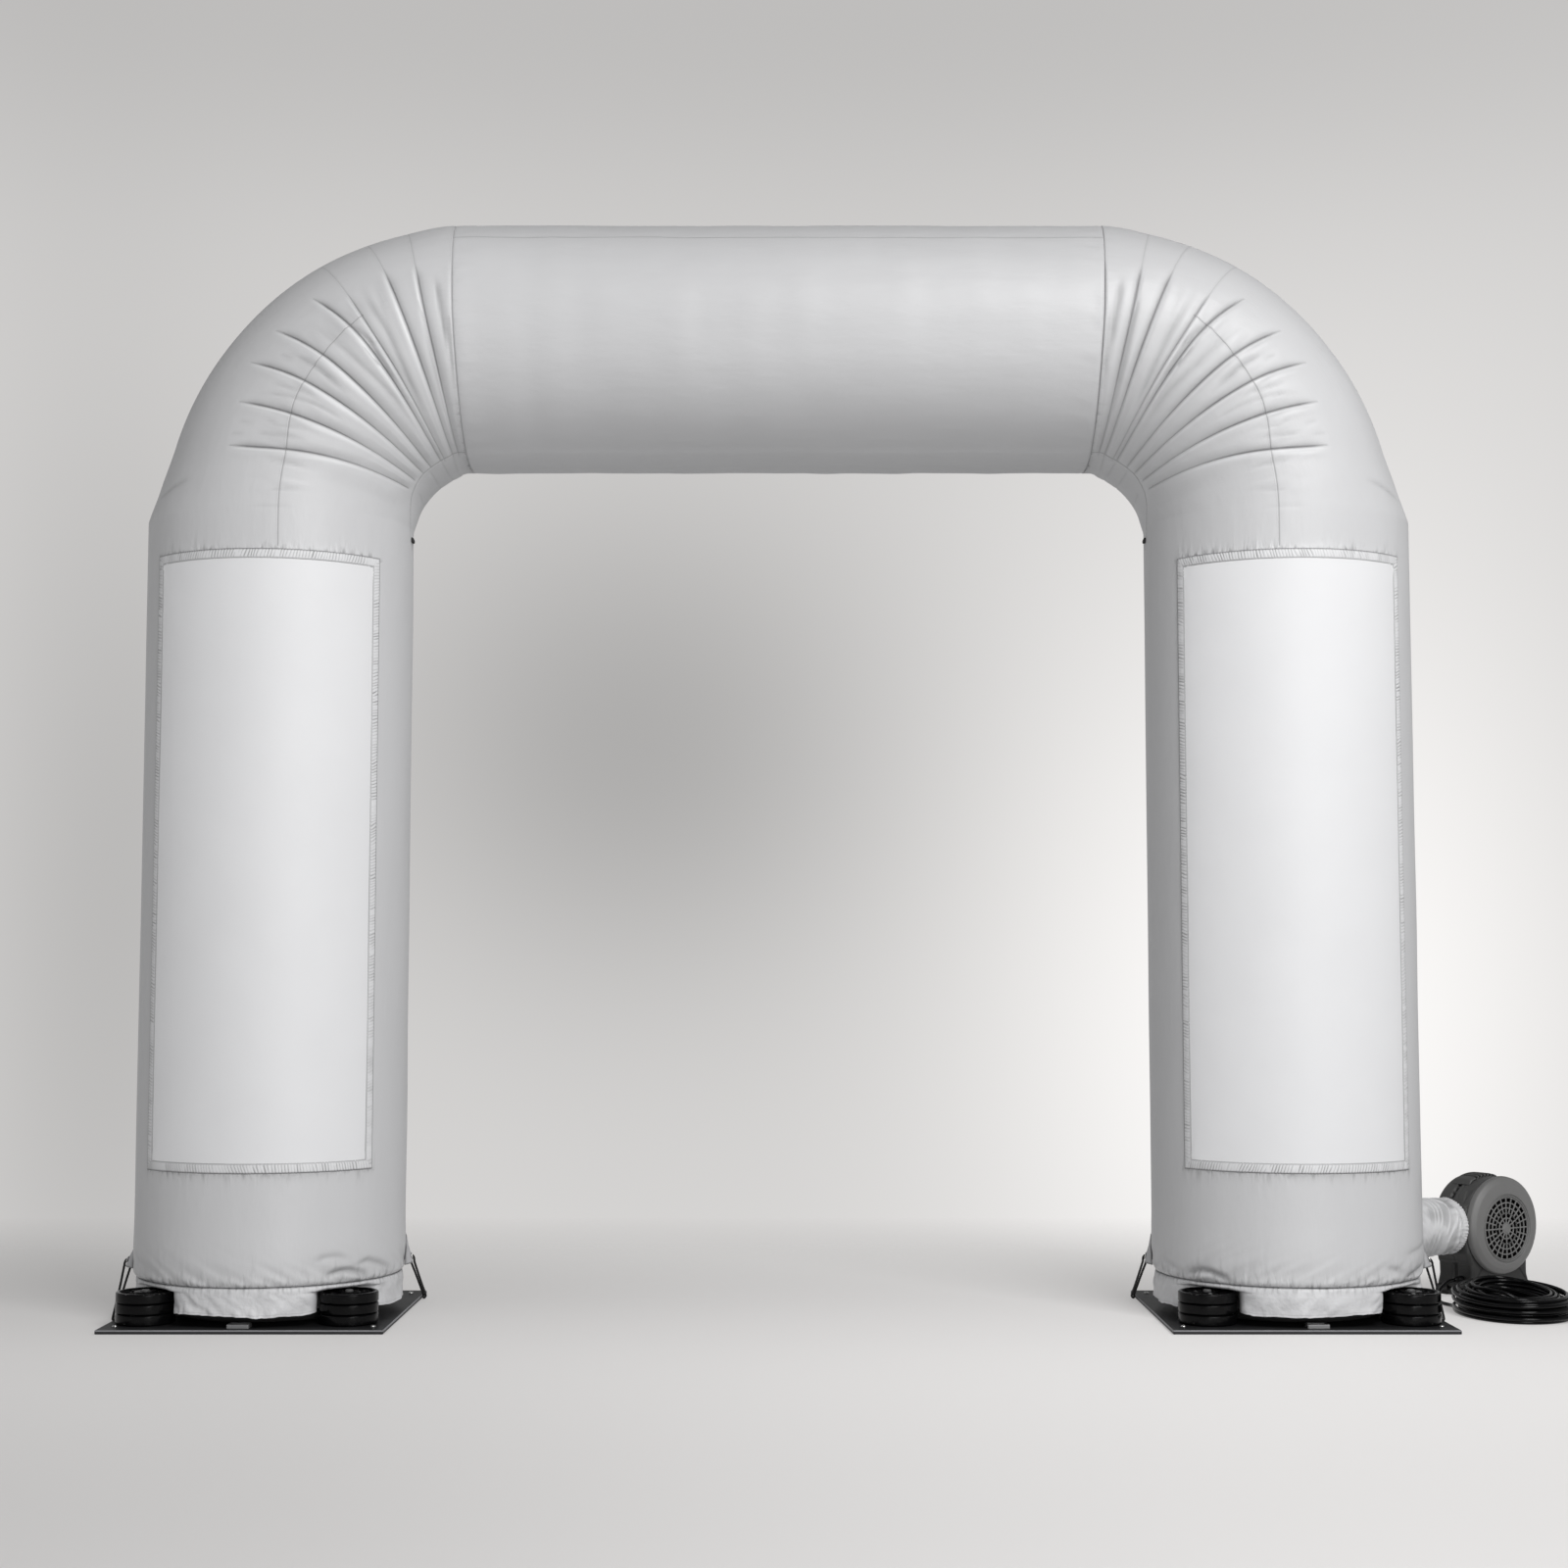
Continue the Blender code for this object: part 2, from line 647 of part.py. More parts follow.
def make_tie(name, side, around, pull, plate_w, plate_y):
    """A rope loop from the tab down to the plate's edge, both strands outside the plate."""
    angle = math.radians(around)
    out = math.copysign(1.0, plate_w)

    def hung(share, z):
        radius = LEG_RADIUS + TIE_CLEAR + share * pull
        return Vector((radius * math.cos(angle), -radius * math.sin(angle), z))

    def at_edge(off, z):
        return Vector((plate_w + out * off, plate_y, z))

    loop = [hung(share, z) for share, z in TIE_LOOP]
    near, far = at_edge(0.0047, 0.016), at_edge(0.0122, 0.016)
    down = [loop[-1].lerp(near, share) for share in (0.35, 0.70)]
    turn = [near, at_edge(0.0047, 0.0075), at_edge(0.0085, 0.0042), at_edge(0.0122, 0.0075), far]
    up = [far.lerp(loop[0], share) for share in (0.30, 0.65)]
    route = [side_point(side, LEG_OFFSET + p.x, p.y, p.z) for p in loop + down + turn + up]
    round_bar(name, route, ROPE_DIAMETER, ROPE, closed=True)


def make_ties(prefix, side):
    for word, around, pull, plate_w, plate_y in TIES:
        make_tab(f"{prefix}{word}_tab", side, around, pull)
        make_tie(f"{prefix}{word}_tie", side, around, pull, plate_w, plate_y)


# ---------------------------------------------------------------- blower
def blower_matrix():
    """The blower's own frame: origin on the floor under its face, X along the outlet's
    line away from the leg, Y from the face to the motor."""
    turn = math.radians(BLOWER_TURN)
    along = Vector((math.cos(turn), math.sin(turn), 0.0))
    back = Vector((-math.sin(turn), math.cos(turn), 0.0))
    origin = arch_point(LEG_OFFSET, 0.0, 0.0) + along * BLOWER_REACH - back * OUTLET_BACK
    return Matrix.Translation(origin) @ Matrix.Rotation(turn, 4, "Z")


def along_y(x, y, z):
    """A turned piece's frame in the blower: its axis runs back from the face."""
    return (blower_matrix() @ Matrix.Translation((x, y, z))
            @ Matrix.Rotation(-math.pi / 2, 4, "X"))


def along_x(x, y, z, direction=1.0):
    """A turned piece's frame in the blower: its axis runs along the outlet's line."""
    return (blower_matrix() @ Matrix.Translation((x, y, z))
            @ Matrix.Rotation(direction * math.pi / 2, 4, "Y"))


def arc(radius, start, end, count):
    """Points of an arc about the fan's axis, from one angle to another, in degrees."""
    points = []
    for step in range(count):
        angle = math.radians(start + (end - start) * step / (count - 1))
        points.append((radius * math.cos(angle), FAN_Z + radius * math.sin(angle)))
    return points


def housing_outline():
    """The snail's outline: round over the fan, flat at the outlet, with straight sides
    down to the base."""
    points = [(HOUSING_HALF_WIDTH + 0.004, BASE_HEIGHT + GAP)]
    points += arc(HOUSING_RADIUS, -33.0, 152.0, 19)
    points += [(-HOUSING_RADIUS, FAN_Z + OUTLET_RADIUS), (-HOUSING_RADIUS, FAN_Z - OUTLET_RADIUS),
               (-HOUSING_HALF_WIDTH - 0.006, FAN_Z - 0.110),
               (-HOUSING_HALF_WIDTH - 0.004, BASE_HEIGHT + GAP)]
    return points


def hump_outline():
    """The low hump over the housing: a crescent whose underside clears the housing."""
    under = arc(HOUSING_RADIUS + HUMP_CLEAR, HUMP_START, HUMP_END, 7)
    over = arc(HOUSING_RADIUS + HUMP_RISE, HUMP_END - 4.0, HUMP_START + 4.0, 7)
    return under + over


def make_grille():
    """Rings and spokes: every other ring of cells between every other pair of spokes is
    open. The middle is a solid boss."""
    bm = bmesh.new()
    angles = []
    for sector in range(GRILLE_SPOKES):
        middle = 360.0 * sector / GRILLE_SPOKES
        angles += [middle - SPOKE_HALF_ANGLE, middle + SPOKE_HALF_ANGLE]
    hub = bm.verts.new((0.0, 0.0, 0.0))
    rings = []
    for radius in GRILLE_RADII:
        ring = []
        for angle in angles:
            turn = math.radians(angle)
            ring.append(bm.verts.new((radius * math.cos(turn), radius * math.sin(turn), 0.0)))
        rings.append(ring)
    count = len(angles)
    for j in range(count):
        k = (j + 1) % count
        bm.faces.new((hub, rings[0][j], rings[0][k]))
        for i in range(len(rings) - 1):
            if j % 2 == 0 or i % 2 == 0:
                bm.faces.new((rings[i][j], rings[i + 1][j], rings[i + 1][k], rings[i][k]))
    made = mesh_object("blower_grille", bm, BLOWER_PLASTIC)
    made.matrix_world = along_y(0.0, 0.003, FAN_Z)
    solidify = made.modifiers.new("thickness", "SOLIDIFY")
    solidify.thickness = GRILLE_THICKNESS
    solidify.offset = 1.0


def make_blower():
    frame = blower_matrix()
    middle_back = HOUSING_FRONT + HOUSING_DEPTH / 2
    box("blower_base", (0.272, 0.152, BASE_HEIGHT), frame @ Vector((0.0, middle_back, 0.0)),
        0.008, BLOWER_PLASTIC, turn=math.radians(BLOWER_TURN))
    extruded("blower_housing", housing_outline(), HOUSING_DEPTH, 0.012, BLOWER_PLASTIC,
             frame @ Matrix.Translation((0.0, HOUSING_FRONT, 0.0)))
    extruded("blower_hump", hump_outline(), 0.070, 0.003, BLOWER_PLASTIC,
             frame @ Matrix.Translation((0.0, 0.075, 0.0)))
    turned("blower_face", FACE_PROFILE, 32, BLOWER_PLASTIC, along_y(0.0, 0.0, FAN_Z))
    make_grille()
    turned("blower_motor", MOTOR_PROFILE, 24, BLOWER_PLASTIC, along_y(0.0, 0.0, FAN_Z))
    collar_start = SLEEVE_END + GAP - BLOWER_REACH
    collar_end = -HOUSING_RADIUS - GAP
    collar = ((0.0, collar_start), (OUTLET_RADIUS, collar_start), (OUTLET_RADIUS, collar_end),
              (0.0, collar_end))
    turned("blower_collar", collar, SLEEVE_SIDES, BLOWER_PLASTIC,
           along_x(0.0, OUTLET_BACK, FAN_Z))
    turned("blower_gland", GLAND_PROFILE, 12, CORD_RUBBER,
           along_x(-HOUSING_HALF_WIDTH - 0.0063, 0.070, 0.053, -1.0))


def make_sleeve():
    """The fabric sleeve from the leg's wall to the blower's outlet, full of air, with a
    drawn-in channel and a ruffled end."""
    turn = math.radians(BLOWER_TURN)
    along = Vector((math.cos(turn), math.sin(turn), 0.0))
    across = Vector((-math.sin(turn), math.cos(turn), 0.0))
    leg = arch_point(LEG_OFFSET, 0.0, 0.0)

    def point(distance, radius, step):
        angle = math.tau * step / SLEEVE_SIDES
        return (leg + along * distance + across * (radius * math.cos(angle))
                + Vector((0.0, 0.0, FAN_Z + radius * math.sin(angle))))

    def on_wall(radius, step):
        """The same line where it meets the leg's wall, just clear of its widest ring."""
        sideways = radius * math.cos(math.tau * step / SLEEVE_SIDES)
        reach = math.sqrt((LEG_RADIUS + 0.0025) ** 2 - sideways ** 2)
        return point(reach, radius, step)

    steps = range(SLEEVE_SIDES)
    rings = [[on_wall(SLEEVE_RADIUS * share, step) for step in steps]
             for share in (0.30, 0.65, 1.0)]
    for distance, radius in SLEEVE_ROWS:
        ruffle = RUFFLE if distance > SLEEVE_CHANNEL else 0.0
        rings.append([point(distance, radius + ruffle * (-1.0) ** step, step)
                      for step in steps])
    loft("blower_sleeve", rings, TUBE_CLOTH)


# ---------------------------------------------------------------- cord
def make_cord():
    lead = [arch_point(*point) for point in LEAD_ROUTE]
    round_bar("cord_lead", lead, CORD_DIAMETER, CORD_RUBBER, resolution=2)
    stretch = Matrix.Scale(COIL_STRETCH, 4, (0.0, 1.0, 0.0))
    coil_place = Matrix.Translation(arch_point(COIL_X, COIL_Y, 0.0))
    turned("cord_coil", COIL_PROFILE, 28, CORD_RUBBER, coil_place @ stretch)

    across, back, up = PLUG_FRONT
    plug_place = (Matrix.Translation(arch_point(COIL_X + across, COIL_Y + back, up))
                  @ Matrix.Rotation(math.radians(PLUG_TURN), 4, "Z")
                  @ Matrix.Rotation(math.pi / 2, 4, "Y"))
    turned("cord_plug", PLUG_PROFILE, 14, CORD_RUBBER, plug_place)


for name_start, which in (("left_", -1), ("right_", 1)):
    make_leg(name_start, which)
    make_bend(name_start, which)
    make_bend_strip(name_start, which)
    make_panel_and_binding(name_start, which)
    make_skirt(name_start, which)
    make_foot(name_start, which)
    make_ties(name_start, which)
make_top_tube()
make_sleeve()
make_blower()
make_cord()
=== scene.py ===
"""The looks of an inflatable arch: its cloth tube with gored bends, the panels in their
gathered bindings, the weighted foot plates, the blower on its sleeve and the coiled cable."""
import json
import math

import bmesh
import bpy
import numpy as np
from mathutils import Matrix, Vector

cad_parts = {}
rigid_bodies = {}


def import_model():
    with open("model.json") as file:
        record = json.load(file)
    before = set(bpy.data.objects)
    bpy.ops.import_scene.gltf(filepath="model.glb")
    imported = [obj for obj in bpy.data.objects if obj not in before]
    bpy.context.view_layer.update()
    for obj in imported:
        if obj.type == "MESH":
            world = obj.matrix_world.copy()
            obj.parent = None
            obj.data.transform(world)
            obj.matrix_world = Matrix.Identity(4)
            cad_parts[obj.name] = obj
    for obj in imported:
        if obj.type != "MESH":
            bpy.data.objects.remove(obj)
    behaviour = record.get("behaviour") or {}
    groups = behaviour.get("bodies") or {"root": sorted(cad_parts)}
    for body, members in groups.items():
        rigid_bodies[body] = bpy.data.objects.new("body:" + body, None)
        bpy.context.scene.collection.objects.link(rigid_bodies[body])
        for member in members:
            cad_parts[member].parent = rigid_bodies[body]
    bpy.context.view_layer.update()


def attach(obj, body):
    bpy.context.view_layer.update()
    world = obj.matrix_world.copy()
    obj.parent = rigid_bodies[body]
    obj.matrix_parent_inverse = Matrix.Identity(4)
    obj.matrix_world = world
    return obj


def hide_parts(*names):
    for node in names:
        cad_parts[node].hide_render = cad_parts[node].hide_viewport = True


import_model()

# ------------------------------------------------------------------ sizes, in metres
ARCH_X, ARCH_Y = -0.2260, -0.0926       # the arch's middle in the part's frame
LEG_OFFSET = 1.531
LEG_RADIUS = 0.400
BEND_RADIUS = 0.565
BEND_MEAN_RADIUS = 0.39                 # of the bend's cloth, round its own middle
BEND_W = LEG_OFFSET - BEND_RADIUS
BEND_Z = 2.384
BEND_END = 90.4                         # where the top tube joins the bend, in degrees
TOP_RADIUS = 0.377
PLATE_TOP = 0.0123
COLUMNS = 224                           # of the tube's cloth, round it
ALL_ROUND = 360.0
DEGREE = math.radians(1.0)


# ------------------------------------------------------------------ camera and light
CAMERA_PLACE = (ARCH_X + 0.0166, ARCH_Y - 7.1835, 1.05)
CAMERA_TILT = 4.3644                    # up, in degrees
CAMERA_LENS, CAMERA_SENSOR = 54.0, 36.0     # in mm


def add_object(name, data):
    """A new object of the scene."""
    made = bpy.data.objects.new(name, data)
    bpy.context.scene.collection.objects.link(made)
    return made


def make_camera():
    """The camera in front of the arch, a little above half a leg's height and tilted up."""
    bpy.context.scene.view_settings.view_transform = "Standard"
    camera = add_object("camera", bpy.data.cameras.new("camera"))
    camera.data.lens = CAMERA_LENS
    camera.data.sensor_width = CAMERA_SENSOR
    camera.location = CAMERA_PLACE
    camera.rotation_euler = (math.radians(90.0 + CAMERA_TILT), 0.0, 0.0)
    bpy.context.scene.camera = camera


def softbox(name, place, aim, size, power):
    """A soft rectangular light, turned to what it is aimed at."""
    light = bpy.data.lights.new(name, "AREA")
    light.shape = "RECTANGLE"
    light.size, light.size_y = size
    light.energy = power
    holder = add_object(name, light)
    holder.location = place
    holder.rotation_euler = (Vector(aim) - Vector(place)).to_track_quat("-Z", "Y").to_euler()


# ------------------------------------------------------------------ finishes
def add_node(tree, kind, settings=None, inputs=()):
    """A node with its settings; `inputs` has values and sockets, in a row or by name."""
    made = tree.nodes.new(kind)
    for key, value in (settings or {}).items():
        setattr(made, key, value)
    for key, value in inputs.items() if isinstance(inputs, dict) else enumerate(inputs):
        value = getattr(value, "socket", value)
        if isinstance(value, bpy.types.NodeSocket):
            tree.links.new(value, made.inputs[key])
        elif value is not None:
            made.inputs[key].default_value = value
    return made


class Value:
    """A number that varies over a surface. Arithmetic on it adds Math nodes."""

    def __init__(self, finish, socket):
        self.finish, self.socket = finish, socket

    def math(self, operation, *others):
        return self.finish.maths(operation, self, *others)

    def __add__(self, other):
        return self.math("ADD", other)

    def __sub__(self, other):
        return self.math("SUBTRACT", other)

    def __mul__(self, other):
        return self.math("MULTIPLY", other)

    def __truediv__(self, other):
        return self.math("DIVIDE", other)

    def __pow__(self, other):
        return self.math("POWER", other)

    def __radd__(self, other):
        return self.math("ADD", other)

    def __rmul__(self, other):
        return self.math("MULTIPLY", other)

    def __rsub__(self, other):
        return self.finish.maths("SUBTRACT", other, self)

    def __rtruediv__(self, other):
        return self.finish.maths("DIVIDE", other, self)

    def __abs__(self):
        return self.math("ABSOLUTE")

    def near_zero(self, reach):
        """1 where the value is 0, falling to 0 at `reach` on either side of it."""
        return self.finish.maths("MAXIMUM", 1.0 - abs(self) / reach, 0.0)

    def clamped(self):
        return self.finish.maths("MINIMUM", self.math("MAXIMUM", 0.0), 1.0)


class Finish:
    """A material on a Principled shader. Constants are set on its sockets."""

    def __init__(self, name, colour, roughness, **constants):
        self.material = bpy.data.materials.new(name)
        self.material.use_nodes = True
        self.tree = self.material.node_tree
        self.shader = self.tree.nodes["Principled BSDF"]
        self.colour = colour
        self.shader.inputs["Base Color"].default_value = (*colour, 1.0)
        self.shader.inputs["Roughness"].default_value = roughness
        for key, value in constants.items():
            self.shader.inputs[key.replace("_", " ")].default_value = value

    def node(self, kind, settings=None, inputs=()):
        return add_node(self.tree, "ShaderNode" + kind, settings, inputs)

    def maths(self, operation, *values):
        return Value(self, self.node("Math", {"operation": operation}, values).outputs[0])

    def attribute(self, name):
        """A value stored at the mesh's points."""
        return Value(self, self.node("Attribute", {"attribute_name": name}).outputs["Fac"])

    def place(self):
        """Object coordinates, as one vector socket."""
        return self.node("TexCoord").outputs["Object"]

    def uv(self, name="cloth"):
        return self.node("UVMap", {"uv_map": name}).outputs["UV"]

    def parts(self, vector):
        split = self.node("SeparateXYZ", None, (vector,))
        return [Value(self, split.outputs[n]) for n in range(3)]

    def noise(self, vector, scale, detail=2.0, stretch=(1.0, 1.0, 1.0), rough=0.5, turn=0.0):
        mapped = self.node("Mapping", None, {"Vector": vector, "Scale": stretch,
                                             "Rotation": (0.0, 0.0, turn)}).outputs[0]
        made = self.node("TexNoise", None, {"Vector": mapped, "Scale": scale, "Detail": detail,
                                            "Roughness": rough})
        return Value(self, made.outputs[0])

    def wave(self, value, length):
        """A sine of a length in the value's own unit, from -1 to 1."""
        return (value * (math.tau / length)).math("SINE")

    def mix(self, share, first, second):
        made = self.node("Mix", {"data_type": "RGBA"}, {0: share, 6: first, 7: second})
        return made.outputs[2]

    def shade(self, value, colour=None):
        """The colour, made darker or lighter by a value about 1."""
        base = (*(colour or self.colour), 1.0)
        grey = self.node("CombineColor", None, (value, value, value)).outputs[0]
        made = self.node("Mix", {"data_type": "RGBA", "blend_type": "MULTIPLY"},
                         {0: 1.0, 6: base, 7: grey})
        return made.outputs[2]

    def give(self, **sockets):
        for key, value in sockets.items():
            self.tree.links.new(getattr(value, "socket", value),
                                self.shader.inputs[key.replace("_", " ")])
        return self

    def raise_by(self, height, metres):
        """Bumps of a height given in metres."""
        bump = self.node("Bump", None, {"Height": height, "Distance": metres, "Strength": 1.0})
        return self.give(Normal=bump.outputs[0])


STITCH_PITCH, STITCH_SHARE, STITCH_WIDTH = 0.0048, 0.62, 0.0010


def stitches(from_seam, off, along):
    """1 on the stitches of a row `off` metres beside a seam, 0 elsewhere."""
    dash = (along / STITCH_PITCH).math("FRACT").math("LESS_THAN", STITCH_SHARE)
    return (from_seam - off).near_zero(STITCH_WIDTH) * dash


def tube_cloth():
    """Coated cloth: seams, and the small folds along gathered seams.

    Painted shade darkens its creases, dents, darts and small folds, a painted highlight
    lightens the lip beside each dart, and painted shade darkens the top tube a little,
    most so right of its middle."""
    made = Finish("tube_cloth", (0.525, 0.525, 0.533), 0.42, Specular_IOR_Level=0.5)
    place = made.uv()
    u, v, _ = made.parts(place)
    soft = made.noise(place, 7.0, 2.0, (1.0, 0.45, 1.0))
    crinkle = made.noise(place, 42.0, 3.0, (1.0, 0.35, 1.0))
    fold = made.noise(place, 66.0, 2.0, (1.0, 0.30, 1.0), turn=0.50)
    weave = made.wave(u, 0.0016) * made.wave(v, 0.0016)
    ring, front, edge, crease, pucker = (made.attribute(n) for n in (
        "ring_seam", "front_seam", "strip_edge", "crease", "pucker"))
    line = made.maths("MAXIMUM", 0.50 * ring.near_zero(0.0036), front.near_zero(0.0030))
    line = made.maths("MAXIMUM", line, edge.near_zero(0.0038))
    stitch = made.maths("MAXIMUM", stitches(ring, 0.0055, u), stitches(abs(front), 0.0045, v))
    # painted shade in the troughs of the small folds
    trough = pucker * ((0.48 - fold) * 4.5).clamped()
    x, _, z = made.parts(made.place())
    # painted shade: the top tube a little darker, most so right of its middle
    top_painted_shade = ((1.3 - abs(x - ARCH_X - 0.35)) / 0.6).clamped() * ((z - 2.45) / 0.2).clamped()
    bright = 1.0 - 0.36 * line - 0.10 * stitch + 0.05 * (soft - 0.5)
    # painted shade along creases, dents and darts; a crease value below 0 is a painted highlight
    bright = bright * (1.0 - 0.42 * crease) * (1.0 - 0.66 * trough) * (1.0 - 0.075 * top_painted_shade)
    made.give(Base_Color=made.shade(bright),
              Roughness=0.40 + 0.12 * (crinkle - 0.5) + 0.1 * line)
    height = 1.6 * (soft - 0.5) + 0.50 * (crinkle - 0.5) + 0.02 * weave - 0.45 * line
    return made.raise_by(height + 0.16 * stitch + 4.5 * pucker * fold, 0.0020)


def skirt_cloth():
    """The skirt's lighter cloth, gathered under its seam: `gather` runs down from there.
    Painted shade darkens the gathers' folds and a line just under the seam.
    """
    made = Finish("skirt_cloth", (0.55, 0.55, 0.56), 0.40)
    place = made.uv()
    gather, hem = made.attribute("gather"), made.attribute("hem")
    fold = made.noise(place, 95.0, 1.0, (1.0, 0.28, 1.0))
    crinkle = made.noise(place, 60.0, 3.0)
    pull = (1.0 - gather / 0.030).clamped() ** 1.5
    # painted shade in the folds of the gathers, and along the line just under the seam
    trough = pull * ((0.50 - fold) * 6.0).clamped()
    bright = ((0.97 + 0.06 * crinkle) * (1.0 - 0.36 * trough)
              * (1.0 - 0.55 * gather.near_zero(0.0040)) * (1.0 - 0.18 * hem.near_zero(0.0016)))
    made.give(Base_Color=made.shade(bright), Roughness=0.34 + 0.14 * crinkle)
    return made.raise_by(2.2 * pull * fold + 1.3 * crinkle, 0.0020)


def tab_cloth():
    """Grey cloth with a darker sewn edge, darkened further as painted shadow."""
    made = Finish("tab_cloth", (0.43, 0.43, 0.44), 0.48)
    seam = made.attribute("seam")
    place = made.place()
    crinkle = made.noise(place, 70.0, 3.0)
    stitch = stitches(seam, 0.0058, made.parts(place)[2])
    # the dark edge is partly the sewn edge's own colour and partly painted shadow
    bright = ((0.95 + 0.10 * crinkle) * (1.0 - 0.80 * seam.near_zero(0.0060))
              * (1.0 - 0.25 * stitch))
    made.give(Base_Color=made.shade(bright), Roughness=0.42 + 0.14 * crinkle)
    return made.raise_by(crinkle + 0.2 * stitch, 0.0010)


def plate_steel(name, grey, sheen):
    """Powder-coated steel: satin black, lighter towards its front as painted reflection,
    with a painted highlight along the top of its side faces.
    """
    made = Finish(name, grey, 0.34, Specular_IOR_Level=sheen)
    place = made.place()
    _, y, z = made.parts(place)
    grain = made.noise(place, 1400.0, 2.0)
    wide = made.noise(place, 5.0, 3.0)
    dust = made.noise(place, 55.0, 4.0, rough=0.7)
    # painted highlight: a thin bright line on the side faces just under the top edge
    side = ((PLATE_TOP - 0.0003 - z) / 0.0005).clamped() * ((z - 0.0074) / 0.0010).clamped()
    # painted reflection: the top is made lighter towards its front
    scuffed = 1.4 * ((-0.425 - y) / 0.06).clamped() * (1.0 - side)
    bright = (0.85 + 0.25 * wide + 0.35 * (dust ** 3)) * (1.0 + 20.0 * side + scuffed)
    made.give(Base_Color=made.shade(bright), Roughness=0.32 + 0.10 * wide + 0.08 * dust)
    return made.raise_by(grain, 0.00012)


def weight_iron():
    """Black enamelled iron with a slightly uneven cast skin, chips on the top rim, and a
    painted highlight along each disc's upper rim edge.
    """
    enamel, metal = (0.0022, 0.0022, 0.0024), (0.72, 0.71, 0.70)
    made = Finish("weight_iron", enamel, 0.26, Specular_IOR_Level=0.13)
    place = made.place()
    cast = made.noise(place, 130.0, 3.0)
    chips = made.noise(place, 210.0, 3.0, rough=0.7)
    rim = made.attribute("rim_wear")
    top = ((made.parts(place)[2] - 0.095) / 0.004).clamped()
    worn = ((chips + 0.46 * rim - 0.85) * 14.0).clamped() * (rim * 2.2).clamped() * top
    # chips are bare metal; the thin light line along every upper rim edge is a painted highlight
    chips_and_highlight = made.maths("MAXIMUM", worn, 0.34 * (rim - 0.50).clamped())
    made.give(Base_Color=made.mix(chips_and_highlight, (*enamel, 1.0), (*metal, 1.0)), Metallic=worn * 0.7,
              Roughness=0.11 + 0.10 * cast + 0.14 * worn)
    return made.raise_by(cast - 0.6 * worn, 0.00035)


def bright_steel():
    """Bare steel of the bolts and eyelets, a little scuffed."""
    made = Finish("bright_steel", (0.62, 0.62, 0.61), 0.28, Metallic=1.0)
    place = made.place()
    scuffs = made.noise(place, 320.0, 3.0)
    made.give(Base_Color=made.shade(0.85 + 0.25 * scuffs), Roughness=0.20 + 0.20 * scuffs)
    return made.raise_by(scuffs, 0.0001)


def cord_rubber():
    """Black cable jacket: smooth and glossy with faint dust and wear."""
    made = Finish("cord_rubber", (0.0020, 0.0020, 0.0022), 0.2, Specular_IOR_Level=0.17)
    place = made.place()
    soft = made.noise(place, 45.0, 3.0)
    fine = made.noise(place, 520.0, 2.0)
    made.give(Base_Color=made.shade(0.8 + 0.5 * soft), Roughness=0.08 + 0.12 * soft + 0.04 * fine)
    return made.raise_by(0.6 * soft + 0.1 * fine, 0.0006)


def tie_rope():
    """Black braided rope with stray fibres."""
    made = Finish("tie_rope", (0.006, 0.006, 0.0065), 0.60)
    u, v, _ = made.parts(made.uv())
    strands = made.wave(3.0 * u + v, 0.0046) * made.wave(3.0 * u - v, 0.0046)
    fibres = made.noise(made.uv(), 900.0, 2.0, (1.0, 0.3, 1.0))
    made.give(Base_Color=made.shade(0.9 + 0.5 * strands + 0.4 * fibres),
              Roughness=0.52 + 0.16 * fibres)
    return made.raise_by(strands + 0.5 * fibres, 0.0005)


def blower_plastic(name, grey, low_painted_shade):
    """Moulded plastic with a fine grain, with painted shade low down; `vent` marks its
    openings, painted near black as shade.
    """
    made = Finish(name, grey, 0.42)
    place = made.place()
    grain = made.noise(place, 1500.0, 2.0)
    wide = made.noise(place, 9.0, 3.0)
    vent = made.attribute("vent")
    low = ((0.225 - made.parts(place)[2]) / 0.15).clamped()
    # painted shade: near black in the openings and darker low down
    bright = (0.93 + 0.14 * wide) * (1.0 - 0.97 * vent.clamped()) * (1.0 - low_painted_shade * low)
    made.give(Base_Color=made.shade(bright), Roughness=0.40 + 0.10 * wide + 0.04 * grain)
    return made.raise_by(grain, 0.00016)


def binding_cloth():
    """Gathered band: painted shade in its folds, dark along its stitched line, and painted
    shadow at its outer edge.
    """
    made = Finish("binding_cloth", (0.64, 0.64, 0.65), 0.45)
    edge, line, fold = (made.attribute(n) for n in ("edge", "line", "fold"))
    crinkle = made.noise(made.place(), 90.0, 3.0)
    # painted shade in the folds and painted shadow along the outer edge; the stitched line is dark
    bright = 1.0 - 0.62 * fold.clamped() + 0.05 * (crinkle - 0.5)
    bright = (bright * (1.0 - 0.62 * line.near_zero(0.0062))
              * (1.0 - edge.near_zero(0.0062) * 0.85))
    made.give(Base_Color=made.shade(bright), Roughness=0.42 + 0.10 * crinkle)
    return made.raise_by(crinkle - 0.5, 0.0007)


def panel_cloth():
    """White coated cloth, a little brighter towards the panel's left as painted light."""
    made = Finish("panel_cloth", (0.68, 0.68, 0.69), 0.50)
    place = made.place()
    soft = made.noise(place, 5.0, 2.0)
    crinkle = made.noise(place, 70.0, 3.0)
    u, v, _ = made.parts(made.uv())
    weave = made.wave(u, 0.0012) * made.wave(v, 0.0012)
    x = made.parts(place)[0] - ARCH_X
    # painted light: brighter towards the panel's left edge
    left = ((-0.04 - (x - LEG_OFFSET * x.math("SIGN"))) / 0.26).clamped()
    bright = (0.975 + 0.05 * soft) * (1.0 + 0.16 * left * left)
    made.give(Base_Color=made.shade(bright), Roughness=0.45 + 0.10 * crinkle)
    return made.raise_by(1.5 * (soft - 0.5) + 0.18 * (crinkle - 0.5) + 0.03 * weave, 0.0012)


